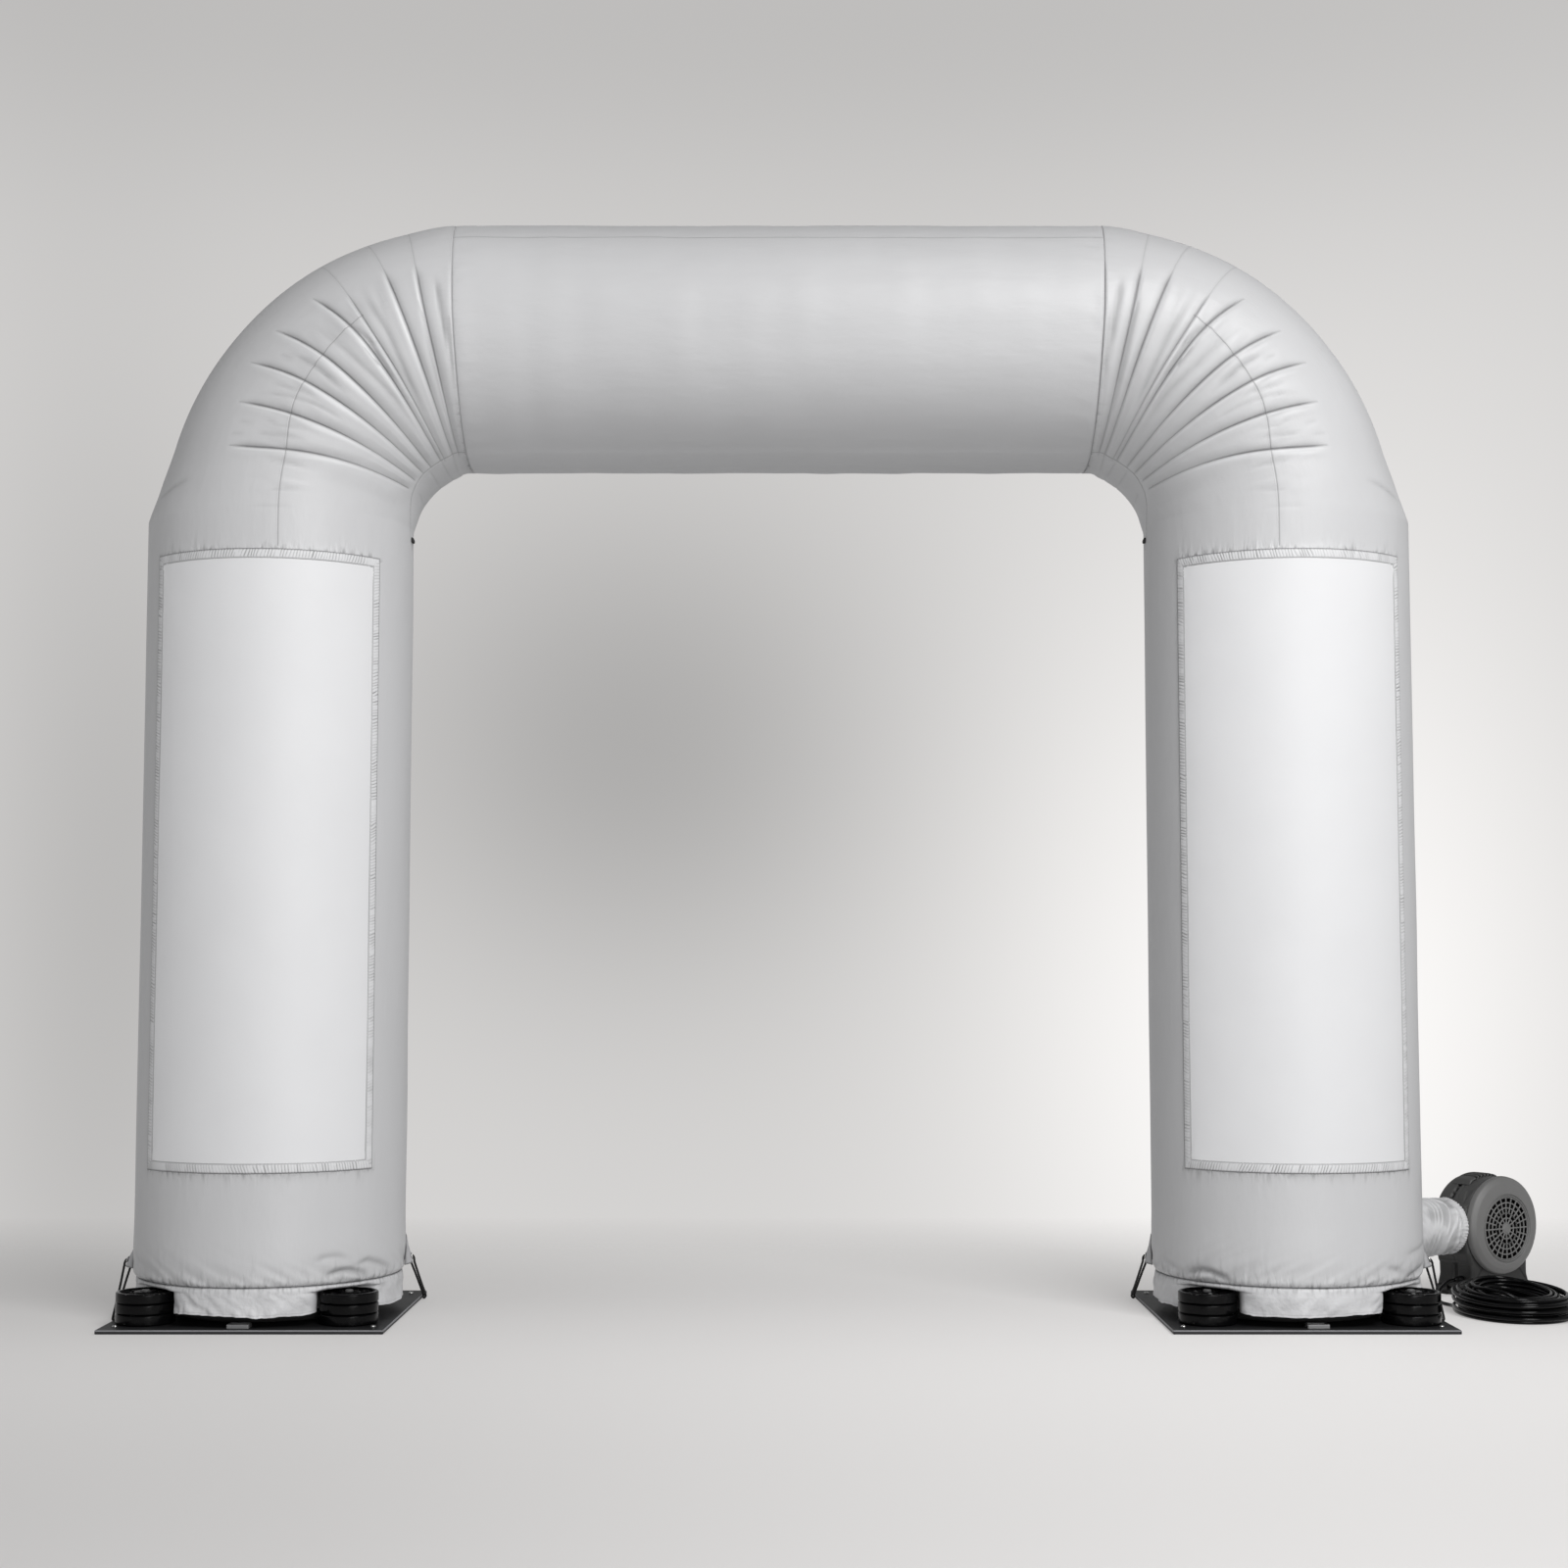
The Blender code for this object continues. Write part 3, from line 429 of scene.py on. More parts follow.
def pad_cloth():
    """Dark woven cloth of the leg's base pad."""
    made = Finish("pad_cloth", (0.018, 0.018, 0.018), 0.8)
    x, y, z = made.parts(made.place())
    weave = made.wave(x + y, 0.0024) * made.wave(z + x - y, 0.0024)
    soft = made.noise(made.place(), 30.0, 3.0)
    made.give(Base_Color=made.shade(0.8 + 0.4 * soft + 0.1 * weave))
    return made.raise_by(soft + 0.1 * weave, 0.001)


def fan_chamber_painted_shade():
    """The inside of the fan chamber, painted near black as shade."""
    made = Finish("fan_chamber_painted_shade", (0.0015, 0.0015, 0.0015), 0.7, Specular_IOR_Level=0.08)
    soft = made.noise(made.place(), 60.0, 2.0)
    made.give(Base_Color=made.shade(0.7 + 0.6 * soft))
    return made.raise_by(soft, 0.0004)


# ------------------------------------------------------------------ numbers over a surface
def noise_table(seed):
    """A fixed table of random numbers for smooth_noise."""
    return np.random.default_rng(seed).uniform(-1.0, 1.0, (256, 256))


def smooth_noise(table, x, y):
    """Smooth noise between -1 and 1; x and y are counted in cells."""
    x, y = np.broadcast_arrays(np.asarray(x, float), np.asarray(y, float))
    left, low = np.floor(x).astype(int), np.floor(y).astype(int)
    right_share, up_share = x - left, y - low
    right_share = right_share ** 2 * (3 - 2 * right_share)
    up_share = up_share ** 2 * (3 - 2 * up_share)
    a, b = table[left % 256, low % 256], table[(left + 1) % 256, low % 256]
    c, d = table[left % 256, (low + 1) % 256], table[(left + 1) % 256, (low + 1) % 256]
    return ((a * (1 - right_share) + b * right_share) * (1 - up_share)
            + (c * (1 - right_share) + d * right_share) * up_share)


def ease(low, high, value):
    """0 at low, 1 at high and smooth between them; high may be the smaller."""
    share = np.clip((value - low) / (high - low), 0.0, 1.0)
    return share * share * (3.0 - 2.0 * share)


def curve_through(keys, values, at):
    """A smooth curve through the rows of a table."""
    keys, values, at = (np.asarray(a, float) for a in (keys, values, at))
    steps = np.diff(keys)
    falls = np.diff(values) / steps
    slopes = np.zeros(len(keys))
    inner = falls[:-1] * falls[1:] > 0
    slopes[1:-1][inner] = 2 * falls[:-1][inner] * falls[1:][inner] / (
        falls[:-1] + falls[1:])[inner]
    slopes[0], slopes[-1] = falls[0], falls[-1]
    i = np.clip(np.searchsorted(keys, at, side="right") - 1, 0, len(keys) - 2)
    t = np.clip((at - keys[i]) / steps[i], 0.0, 1.0)
    return ((2 * t ** 3 - 3 * t ** 2 + 1) * values[i]
            + (t ** 3 - 2 * t ** 2 + t) * steps[i] * slopes[i]
            + (3 * t ** 2 - 2 * t ** 3) * values[i + 1]
            + (t ** 3 - t ** 2) * steps[i] * slopes[i + 1])


def read(table, at, column=1):
    """A column of a table as a smooth curve over its first column."""
    return curve_through(table[:, 0], table[:, column], at)


def lengths_along(points):
    """How far along a line each of its points is."""
    return np.concatenate([[0.0], np.cumsum(np.linalg.norm(np.diff(points, axis=0), axis=1))])


# ------------------------------------------------------------------ making pieces
def finish_piece(made, finish, slot, *nodes, smooth=True):
    """A piece takes its material, rides on the arch and stands for its solids."""
    made.data.materials.clear()
    made.data.materials.append(finish.material)
    if smooth and made.type == "MESH":
        made.data.shade_smooth()
    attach(made, "root")
    if nodes:
        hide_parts(*nodes)
    return made


def mesh_piece(name, bm):
    """A new object with the mesh."""
    mesh = bpy.data.meshes.new(name)
    bm.to_mesh(mesh)
    bm.free()
    return add_object(name, mesh)


def grid_piece(name, points, wrap=False, caps=False, flip=False, closed=False, uv=None,
               **attributes):
    """A cloth over an array of points, rows by columns, with its map and attributes.

    wrap joins the last column to the first, caps fills the first and last row, flip turns
    the faces over, and closed welds the piece and turns its faces outwards. uv is the map's
    two arrays and the width that a wrapped map goes on by."""
    rows, columns = points.shape[:2]
    i, j = np.meshgrid(np.arange(rows - 1), np.arange(columns if wrap else columns - 1),
                       indexing="ij")
    k = (j + 1) % columns
    corners = np.stack([i * columns + j, i * columns + k, (i + 1) * columns + k,
                        (i + 1) * columns + j], -1).reshape(-1, 4)
    if flip:
        corners = corners[:, ::-1]
    faces = corners.tolist()
    if caps:
        first, last = list(range(columns)), list(range((rows - 1) * columns, rows * columns))
        faces += [first if flip else first[::-1], last[::-1] if flip else last]
    mesh = bpy.data.meshes.new(name)
    mesh.from_pydata(points.reshape(-1, 3).tolist(), [], faces)
    if uv is not None:
        across = np.concatenate([uv[0], uv[0][:, :1] + uv[2]], 1) if wrap else uv[0]
        up = np.concatenate([uv[1], uv[1][:, :1]], 1) if wrap else uv[1]
        corner = [(i, j), (i, j + 1), (i + 1, j + 1), (i + 1, j)]
        if flip:
            corner = corner[::-1]
        flat = np.stack([np.stack([across[c], up[c]], -1) for c in corner], 2).reshape(-1, 2)
        layer = mesh.uv_layers.new(name="cloth")
        full = np.zeros((len(mesh.loops), 2), np.float32)
        full[:len(flat)] = flat
        layer.data.foreach_set("uv", full.ravel())
    for key, values in attributes.items():
        made = mesh.attributes.new(key, "FLOAT", "POINT")
        made.data.foreach_set("value", values.astype(np.float32).ravel())
    mesh.validate()
    if closed:
        bm = bmesh.new()
        bm.from_mesh(mesh)
        bmesh.ops.remove_doubles(bm, verts=bm.verts, dist=1e-6)
        bmesh.ops.dissolve_degenerate(bm, dist=1e-6, edges=bm.edges)
        bmesh.ops.recalc_face_normals(bm, faces=bm.faces)
        bm.to_mesh(mesh)
        bm.free()
    return add_object(name, mesh)


def settle(made):
    """Modifiers become the piece's plain mesh, and its place goes into the mesh."""
    graph = bpy.context.evaluated_depsgraph_get()
    mesh = bpy.data.meshes.new_from_object(made.evaluated_get(graph))
    mesh.transform(made.matrix_world)
    made.modifiers.clear()
    made.data = mesh
    made.matrix_world = Matrix.Identity(4)
    return made


def thicken(made, thickness):
    """Cloth of a real thickness, built outwards from the sheet."""
    modifier = made.modifiers.new("thickness", "SOLIDIFY")
    modifier.thickness = thickness
    modifier.offset = 1.0
    return settle(made)


def join(name, objects):
    """One plain mesh of several objects, each at its place."""
    bm = bmesh.new()
    for each in objects:
        mesh = each.data.copy()
        mesh.transform(each.matrix_world)
        bm.from_mesh(mesh)
        bpy.data.objects.remove(each)
        bpy.data.meshes.remove(mesh)
    return mesh_piece(name, bm)


def node_group(name, sockets):
    """A Geometry Nodes group that gives a geometry, its inputs, and a way to add its nodes."""
    tree = bpy.data.node_groups.new(name, "GeometryNodeTree")
    given = {key: tree.interface.new_socket(key, in_out="INPUT", socket_type="NodeSocket" + kind)
             for key, kind in sockets}
    tree.interface.new_socket("Geometry", in_out="OUTPUT", socket_type="NodeSocketGeometry")

    def add(kind, inputs=(), **settings):
        return add_node(tree, kind, settings, inputs).outputs

    return tree, given, add


# ------------------------------------------------------------------ the tube's tables
BEND_SECTIONS = np.array((
    # bend, outer, inner, front: how far the cloth reaches from the centre line
    (0.0, 0.400, 0.400, 0.400),
    (6.0, 0.371, 0.403, 0.398),
    (15.0, 0.351, 0.405, 0.394),
    (35.0, 0.348, 0.405, 0.390),
    (60.0, 0.357, 0.399, 0.386),
    (78.0, 0.364, 0.388, 0.381),
    (88.0, 0.377, 0.377, 0.377),
    (100.0, 0.377, 0.377, 0.377),
))
BEND_LINES = np.array((
    # at, outer_lean, inner_lean: lines of the cloth across the bend
    (0.0, 0.000, 0.000),
    (10.0, 0.060, 0.140),
    (17.5, 0.100, 0.226),
    (30.0, 0.137, 0.183),
    (41.3, 0.160, 0.164),
    (51.0, 0.163, 0.154),
    (62.8, 0.180, 0.135),
    (66.0, 0.075, 0.137),
    (76.5, 0.082, 0.099),
    (82.5, 0.045, 0.080),
    (90.4, 0.027, 0.056),
))
DARTS = (
    # at, starts, depth, half_width, seam goes on round the outer side
    (17.5, 73.0, 0.0085, 0.017, 0.0),
    (30.0, 69.0, 0.0085, 0.017, 0.0),
    (41.3, 61.0, 0.0085, 0.017, 0.0),
    (51.0, 59.0, 0.0085, 0.017, 0.0),
    (62.8, 57.0, 0.0080, 0.014, 0.0),
    (66.0, 66.0, 0.0045, 0.008, 1.0),
    (76.5, 60.0, 0.0070, 0.013, 1.0),
    (82.5, 62.0, 0.0065, 0.011, 1.0),
    (90.4, 60.0, 0.0030, 0.007, 1.0),
)
CREASES = (
    # depth, half_width, then bend and around of each point
    (0.0050, 0.010, (85.9, 70), (87.1, 86), (88.9, 107)),
    (0.0030, 0.006, (89.0, 86), (89.7, 101), (90.6, 120)),
    (0.0030, 0.012, (52.7, 70), (55.5, 86), (58.2, 100), (63.0, 119), (64.8, 134)),
    (0.0045, 0.009, (44.5, 76), (46.6, 90), (47.6, 104)),
    (0.0025, 0.007, (42.4, 71), (43.3, 79)),
    (0.0040, 0.007, (61.4, 82), (63.6, 90), (66.0, 97)),
    (0.0040, 0.006, (63.3, 86), (64.7, 99), (66.2, 109)),
    (0.0030, 0.006, (61.6, 92), (63.6, 103), (67.2, 114)),
    (0.0040, 0.012, (67.8, 68), (69.0, 81), (70.4, 93), (72.0, 115), (73.4, 129)),
    (0.0030, 0.009, (80.6, 77), (81.6, 89), (82.6, 106), (85.2, 139)),
    (0.0022, 0.006, (25.8, 84), (25.6, 92), (28.0, 101)),
    (0.0022, 0.006, (21.2, 84), (21.9, 90), (25.0, 103)),
    (0.0018, 0.006, (22.6, 73), (22.8, 80)),
    (0.0018, 0.006, (18.8, 71), (19.6, 78)),
    (0.0018, 0.005, (14.4, 92), (14.4, 99), (15.9, 107)),
    (0.0018, 0.005, (5.5, 96), (5.6, 100), (6.4, 108)),
    (0.0014, 0.005, (-0.2, 88), (-0.2, 106)),
    (0.0022, 0.006, (35.2, 78), (37.5, 90), (41.0, 99)),
    (0.0022, 0.006, (31.5, 76), (35.0, 90), (39.2, 108)),
    (0.0020, 0.006, (36.4, 94), (39.4, 112)),
    (0.0016, 0.004, (37.4, 168), (31.0, 180)),
    (0.0016, 0.004, (59.3, 160), (58.5, 180)),
    (0.0016, 0.004, (72.5, 159), (73.9, 180)),
    (0.0016, 0.004, (83.4, 159), (82.0, 180)),
    (0.0030, 0.008, (3.4, 28), (4.6, 37), (5.9, 46), (6.6, 54)),
)
FRONT_SEAM = np.array((
    # bend, around
    (-12.0, 100.0), (0.0, 100.0), (15.5, 99.2), (35.0, 91.8), (49.0, 87.0), (63.5, 80.8),
    (76.0, 76.0),
))
STRIP_EDGE = np.array((
    # bend, around
    (-6.5, 180.0), (0.0, 175.0), (11.3, 170.6), (34.0, 163.0), (52.6, 160.0), (96.0, 158.0),
))
BEND_CREASES_DOWN_TO = 2.2              # on the leg
TOP_SEAM = 42.0                         # round the top tube, in degrees
FOOT_SEAM = 0.128
FOOT_PROFILE = np.array((
    # z, radius
    (0.1135, 0.2700), (0.1165, 0.3000), (0.1225, 0.3600), (0.1270, 0.3860),
    (0.1325, 0.3940), (0.1430, 0.3985), (0.1650, 0.4000), (0.2000, 0.4015), (0.3000, 0.4000),
))
LEG_DENTS = (
    # depth, half_width, then around and z of each point; on the left and on the right leg
    ((0.0120, 0.010, (125, 0.148), (128, 0.158), (132, 0.1635), (137, 0.163), (143, 0.152),
      (150, 0.131)),
     (0.0050, 0.011, (120, 0.192), (124, 0.205), (129, 0.208), (137, 0.195)),
     (0.0080, 0.010, (140, 0.176), (146, 0.186), (154, 0.172), (166, 0.142)),
     (0.0030, 0.010, (24, 0.205), (36, 0.172))),
    ((0.0120, 0.010, (151, 0.134), (146, 0.152), (140, 0.163), (134, 0.160), (129, 0.148),
      (126, 0.134)),
     (0.0040, 0.011, (166, 0.180), (156, 0.160), (150, 0.150)),
     (0.0080, 0.011, (46, 0.138), (32, 0.150), (20, 0.162)),
     (0.0040, 0.012, (44, 0.206), (28, 0.214), (15, 0.222)),
     (0.0060, 0.011, (57, 0.178), (50, 0.166), (44, 0.152))),
)


def to_front(around):
    """The angle round the tube, counted alike over its front and its back."""
    return np.where(around <= 180.0, around, 360.0 - around)


def bend_of(at, around):
    """The bend angle where a line of the cloth passes a place round the tube."""
    x = to_front(around) - 90.0
    root = np.sqrt(x * x + 36.0)
    outer, inner = read(BEND_LINES, at, 1), read(BEND_LINES, at, 2)
    return at + outer * (x - root) / 2 + inner * (x + root) / 2


def from_bend_centre(around):
    """How far the cloth is from the point that the bend turns about."""
    return BEND_RADIUS + BEND_MEAN_RADIUS * np.cos(np.radians(around))


def crease_relief(points, depth, half_width, x, y, x_scale, y_scale):
    """A soft trough along a line of points, sharp at its bottom and fading at its ends."""
    best = np.full(x.shape, 1e9)
    along = np.zeros(x.shape)
    for n, ((x0, y0), (x1, y1)) in enumerate(zip(points, points[1:])):
        ax, ay = (x - x0) * x_scale, (y - y0) * y_scale
        bx, by = (x1 - x0) * x_scale, (y1 - y0) * y_scale
        t = np.clip((ax * bx + ay * by) / (bx * bx + by * by), 0.0, 1.0)
        off = np.hypot(ax - t * bx, ay - t * by)
        nearer = off < best
        best = np.where(nearer, off, best)
        along = np.where(nearer, (n + t) / (len(points) - 1), along)
    fade = ease(0.0, 0.25, along) * (1.0 - ease(0.70, 1.0, along)) * 0.8 + 0.2
    return -depth * fade * (0.6 * np.exp(-(best / half_width) ** 2)
                            + 0.4 * np.exp(-best / (0.35 * half_width)))


def bend_relief(bend, around, front):
    """How far the bend's cloth stands in or out, the distance to its nearest seam, and its
    painted shade and highlights.
    """
    middle = from_bend_centre(front)
    relief = np.zeros(bend.shape)
    seam = np.full(bend.shape, 1.0)
    puff = np.full(bend.shape, 1.0)
    crease = np.zeros(bend.shape)
    for at, starts, depth, half_width, round_it in DARTS:
        off = np.radians(bend - bend_of(np.full(bend.shape, at), around)) * middle
        strength = ease(starts - 3.0, starts + 9.0, front) * (1.0 - 0.72 * ease(98.0, 140.0, front))
        strength *= 1.0 - ease(157.0, 161.0, front)
        wide = half_width * np.clip(middle / 0.52, 0.22, 1.1)
        up = np.where(off > 0, 1.5, 0.6) * wide
        trough = 0.5 * np.exp(-(off / up) ** 2) + 0.5 * np.exp(-np.abs(off) / (0.22 * wide))
        lip = np.exp(-((off + 1.25 * wide) / (0.6 * wide)) ** 2)
        relief -= strength * depth * (trough - 0.22 * lip)
        # painted shade along the dart, and a painted highlight on the lip below it
        shadow = np.exp(-(off / 0.0036) ** 2) + 0.45 * np.exp(-((off - 0.007) / 0.008) ** 2)
        shadow -= 0.45 * np.exp(-((off + 0.0075) / 0.0038) ** 2)
        shadow = strength * shadow * min(1.0, depth / 0.0080)
        crease = np.where(np.abs(shadow) > np.abs(crease), shadow, crease)
        sewn = strength > 0.02 if round_it == 0.0 else front < 161.0
        if at > 90.0:
            sewn = front <= 180.0
        seam = np.where(sewn, np.minimum(seam, np.abs(off)), seam)
        puff = np.minimum(puff, np.abs(off))
    gore = ease(84.0, 112.0, front) * (1.0 - ease(150.0, 162.0, front)) * ease(12.0, 22.0, bend)
    relief += 0.0035 * gore * ease(0.0, 0.030, puff)
    for depth, half_width, *points in CREASES:
        line = crease_relief(points, depth, half_width, bend, front,
                             DEGREE * middle, DEGREE * BEND_MEAN_RADIUS)
        relief += line
        # painted shade along each crease
        crease = np.where(-line / 0.0060 > np.abs(crease), -line / 0.0060, crease)
    from_seam = front - read(FRONT_SEAM, bend)
    wrinkle = smooth_noise(noise_table(17), bend / 1.7, front / 15.0)
    wrinkle = (wrinkle * np.exp(-(from_seam / 11.0) ** 2)
               * ease(1.0, 8.0, bend) * ease(78.0, 66.0, bend))
    relief += 0.0022 * wrinkle
    # painted shade in the wrinkles beside the front seam
    crease = np.where(np.abs(crease) > 0.15, crease, crease + 0.32 * np.maximum(-wrinkle, 0.0))
    edge = np.radians(read(STRIP_EDGE, bend) - front) * LEG_RADIUS
    relief += 0.0022 * ease(0.012, 0.0, edge) * ease(-8.0, 0.0, bend)
    return relief, seam, edge, crease


def rings_to_points(side, w, y, z):
    """Points of one side of the arch; w is outwards from its middle."""
    return np.stack([ARCH_X + side * w, ARCH_Y + y, z], -1)


def on_leg(side, around, radius, z):
    """Points round a leg's axis."""
    angle = np.radians(around)
    return rings_to_points(side, LEG_OFFSET + radius * np.cos(angle), -radius * np.sin(angle),
                           z + 0 * around)


def bend_surface(side, at, around):
    """The bend's cloth, with its bend angles, its distances from seams and its shadows."""
    bend = bend_of(at, around)
    front = to_front(around)
    relief, seam, edge, crease = bend_relief(bend, around, front)
    turn, angle = np.radians(bend), np.radians(around)
    outer, inner, depth = (read(BEND_SECTIONS, bend, n) for n in (1, 2, 3))
    reach = np.where(np.cos(angle) > 0, outer, inner) + relief
    depth = depth + relief
    far = BEND_RADIUS + reach * np.cos(angle)
    flat = bend > 90.0
    w = np.where(flat, BEND_W - far * np.tan(turn - math.pi / 2), BEND_W + far * np.cos(turn))
    z = np.where(flat, BEND_Z + far, BEND_Z + far * np.sin(turn))
    return rings_to_points(side, w, -depth * np.sin(angle), z), bend, seam, edge, crease


def leg_seed(side):
    """Each leg's own noise tables are numbered from here."""
    return 11 if side < 0 else 12


def pucker_of(side, around, z):
    """How strongly the leg's cloth is drawn into small folds: at its foot and at the panel."""
    table = noise_table(leg_seed(side))
    uneven = 0.35 + 0.65 * np.abs(smooth_noise(table, around / 3.4 + 40.0, 7.5))
    up = np.maximum(z - FOOT_SEAM, 0.0)
    strength = np.exp(-up / (0.040 * uneven)) * ease(0.118, 0.130, z)
    inside = (1.0 - ease(53.0, 56.0, np.abs(to_front(around) - 93.5))) * (around <= 180.0)
    for off in (z - BINDING_HIGH, BINDING_LOW - z):
        strength = strength + 0.9 * inside * (off > -0.01) * np.exp(
            -np.maximum(off, 0.0) / (0.022 * uneven))
    return strength


def leg_surface(side, z, radius, around):
    """The leg's cloth, with its dents and creases; the second value marks their shadows."""
    seed = leg_seed(side)
    table = noise_table(seed + 2)
    up = np.maximum(z - FOOT_SEAM, 0.0)
    lean = (around + 260.0 * up) / 4.6
    relief = (0.0060 * smooth_noise(table, lean, z / 0.060) * np.exp(-up / 0.034)
              * ease(0.122, 0.142, z))
    crease = np.maximum(-relief / 0.0075, 0.0)
    for depth, half_width, *points in LEG_DENTS[0 if side < 0 else 1]:
        line = crease_relief(points, depth, half_width, around, z, DEGREE * LEG_RADIUS, 1.0)
        relief += line
        crease = np.maximum(crease, -line / 0.012)
    bend = np.degrees((z - BEND_Z) / BEND_RADIUS)
    for depth, half_width, *points in CREASES:
        if points[0][0] < 8.0:
            line = crease_relief(points, depth, half_width, bend, to_front(around),
                                 DEGREE * BEND_RADIUS, DEGREE * BEND_MEAN_RADIUS)
            relief += line * (z > BEND_CREASES_DOWN_TO)
    table = noise_table(seed + 6)
    relief += 0.0012 * smooth_noise(table, around / 40.0, z / 0.30)
    return on_leg(side, around, radius + relief, z), crease


def foot_rows():
    """Heights and radii of the rows of cloth from the foot up to where the leg is plain."""
    chord = lengths_along(FOOT_PROFILE)
    at = np.concatenate([np.linspace(0.0, chord[3], 7)[:-1], np.linspace(chord[3], chord[-1], 42)])
    return [curve_through(chord, FOOT_PROFILE[:, n], at) for n in (0, 1)]


def bend_rows():
    """Where the bend's rows of cloth lie, closer together at its darts, in degrees."""
    rows = list(np.arange(0.0, BEND_END, 0.70)) + [BEND_END]
    for at, *_ in DARTS:
        for off in (0.0, 0.13, 0.30, 0.55, 0.90):
            rows += [at - off, at + off]
    kept = []
    exact = {at for at, *_ in DARTS}
    for row in sorted(r for r in rows if 0.0 <= r <= BEND_END):
        if kept and row - kept[-1] < 0.11:
            if row in exact:
                kept[-1] = row
            continue
        kept.append(row)
    return np.array(kept)


def make_tube_side(prefix, side, finish):
    """A leg and its bend, one run of cloth from the foot to the top tube's joint."""
    around = np.arange(COLUMNS) * ALL_ROUND / COLUMNS
    foot_z, foot_radius = foot_rows()
    z = np.concatenate([foot_z, np.arange(0.320, 0.390, 0.02), np.arange(0.400, 0.449, 0.006),
                        np.arange(0.50, 2.21, 0.06), np.arange(2.246, 2.321, 0.005),
                        np.arange(2.326, 2.380, 0.010)])
    radius = np.concatenate([foot_radius, np.full(len(z) - len(foot_z), LEG_RADIUS)])
    leg, leg_crease = leg_surface(side, z[:, None], radius[:, None], around[None, :])
    at = bend_rows()
    bend_points, bend, seam, edge, crease = bend_surface(side, at[:, None] + 0 * around,
                                                         around + 0 * at[:, None])
    blend = ease(0.0, 9.0, at)[:, None, None]
    low = leg_surface(side, BEND_Z + 0 * at[:, None], LEG_RADIUS + 0 * at[:, None],
                      around + 0 * at[:, None])[0]
    plain = on_leg(side, around, LEG_RADIUS, BEND_Z)
    bend_points = bend_points + (low - plain[None]) * (1.0 - blend)
    points = np.concatenate([leg, bend_points])
    leg_bend = np.degrees((z - BEND_Z) / BEND_RADIUS)[:, None] + 0 * around
    all_bend = np.concatenate([leg_bend, bend])
    front = to_front(around) + 0 * all_bend
    front_seam = np.radians(front - read(FRONT_SEAM, all_bend)) * BEND_MEAN_RADIUS
    front_seam = np.where((all_bend < FRONT_SEAM[0, 0]) | (all_bend > 66.0), 1.0, front_seam)
    leg_edge = np.radians(read(STRIP_EDGE, leg_bend) - front[:len(z)]) * LEG_RADIUS
    leg_edge = np.where(leg_bend < STRIP_EDGE[0, 0], 1.0, leg_edge)
    up = np.concatenate([z, BEND_Z + np.radians(at) * BEND_RADIUS])[:, None] + 0 * around
    across = np.radians(around) * LEG_RADIUS + 0 * up
    made = grid_piece(prefix + "tube_cloth", points, wrap=True, caps=True, flip=side > 0,
                      uv=(across, up, math.tau * LEG_RADIUS),
                      ring_seam=np.concatenate([np.ones((len(z), COLUMNS)), seam]),
                      front_seam=front_seam, strip_edge=np.concatenate([leg_edge, edge]),
                      crease=np.concatenate([leg_crease, crease]),
                      pucker=np.concatenate([pucker_of(side, around, z[:, None]),
                                             0.12 * np.exp(-(BEND_END - bend) / 2.0)]))
    finish_piece(made, finish, "tube_cloth", prefix + "leg", prefix + "bend",
                 prefix + "bend_strip")
    return made


def make_top_tube(finish):
    """The level tube, from one bend's last ring to the other's, puckered at its joints."""
    around = np.arange(COLUMNS) * ALL_ROUND / COLUMNS
    left, right = (bend_surface(side, np.full(COLUMNS, BEND_END), around)[0] for side in (-1, 1))
    edge = np.concatenate([[0.0, 0.0015, 0.004, 0.008], np.arange(0.014, 0.25, 0.008)])
    steps = np.unique(np.clip(np.concatenate([edge / 1.9, np.linspace(0.13, 0.87, 60),
                                              1.0 - edge[::-1] / 1.9]), 0.0, 1.0))
    share = steps[:, None, None]
    points = left[None] * (1 - share) + right[None] * share
    table = noise_table(31)
    length = np.linalg.norm(right - left, axis=1)[None, :]
    from_end = np.minimum(share[..., 0], 1 - share[..., 0]) * length
    end_noise = np.where(share[..., 0] < 0.5, 0.0, 60.0)
    fold = smooth_noise(table, around / 3.0 + 14.0 * from_end + end_noise, from_end / 0.30)
    relief = 0.0022 * fold * np.exp(-from_end / 0.045) * ease(0.0, 0.006, from_end)
    relief += 0.0016 * smooth_noise(table, share[..., 0] * 26.0, around / 46.0 + 9.0)
    relief *= ease(0.0, 0.03, from_end)
    relief -= 0.0025 * np.exp(-from_end / 0.005)
    angle = np.radians(around)
    points = points + relief[..., None] * np.stack(
        [np.zeros(COLUMNS), -np.sin(angle), np.cos(angle)], -1)[None]
    up = points[..., 0] - ARCH_X + 6.0
    across = np.radians(around) * TOP_RADIUS + 0 * up
    seam = np.radians(around - TOP_SEAM) * TOP_RADIUS + 0 * up
    made = grid_piece("top_tube_cloth", points, wrap=True, caps=True,
                      uv=(across, up, math.tau * TOP_RADIUS),
                      ring_seam=from_end + 0 * up, front_seam=seam, strip_edge=np.ones(up.shape),
                      crease=0 * up, pucker=0.12 * np.exp(-from_end / 0.022) + 0 * up)
    finish_piece(made, finish, "tube_cloth", "top_tube")
    return made


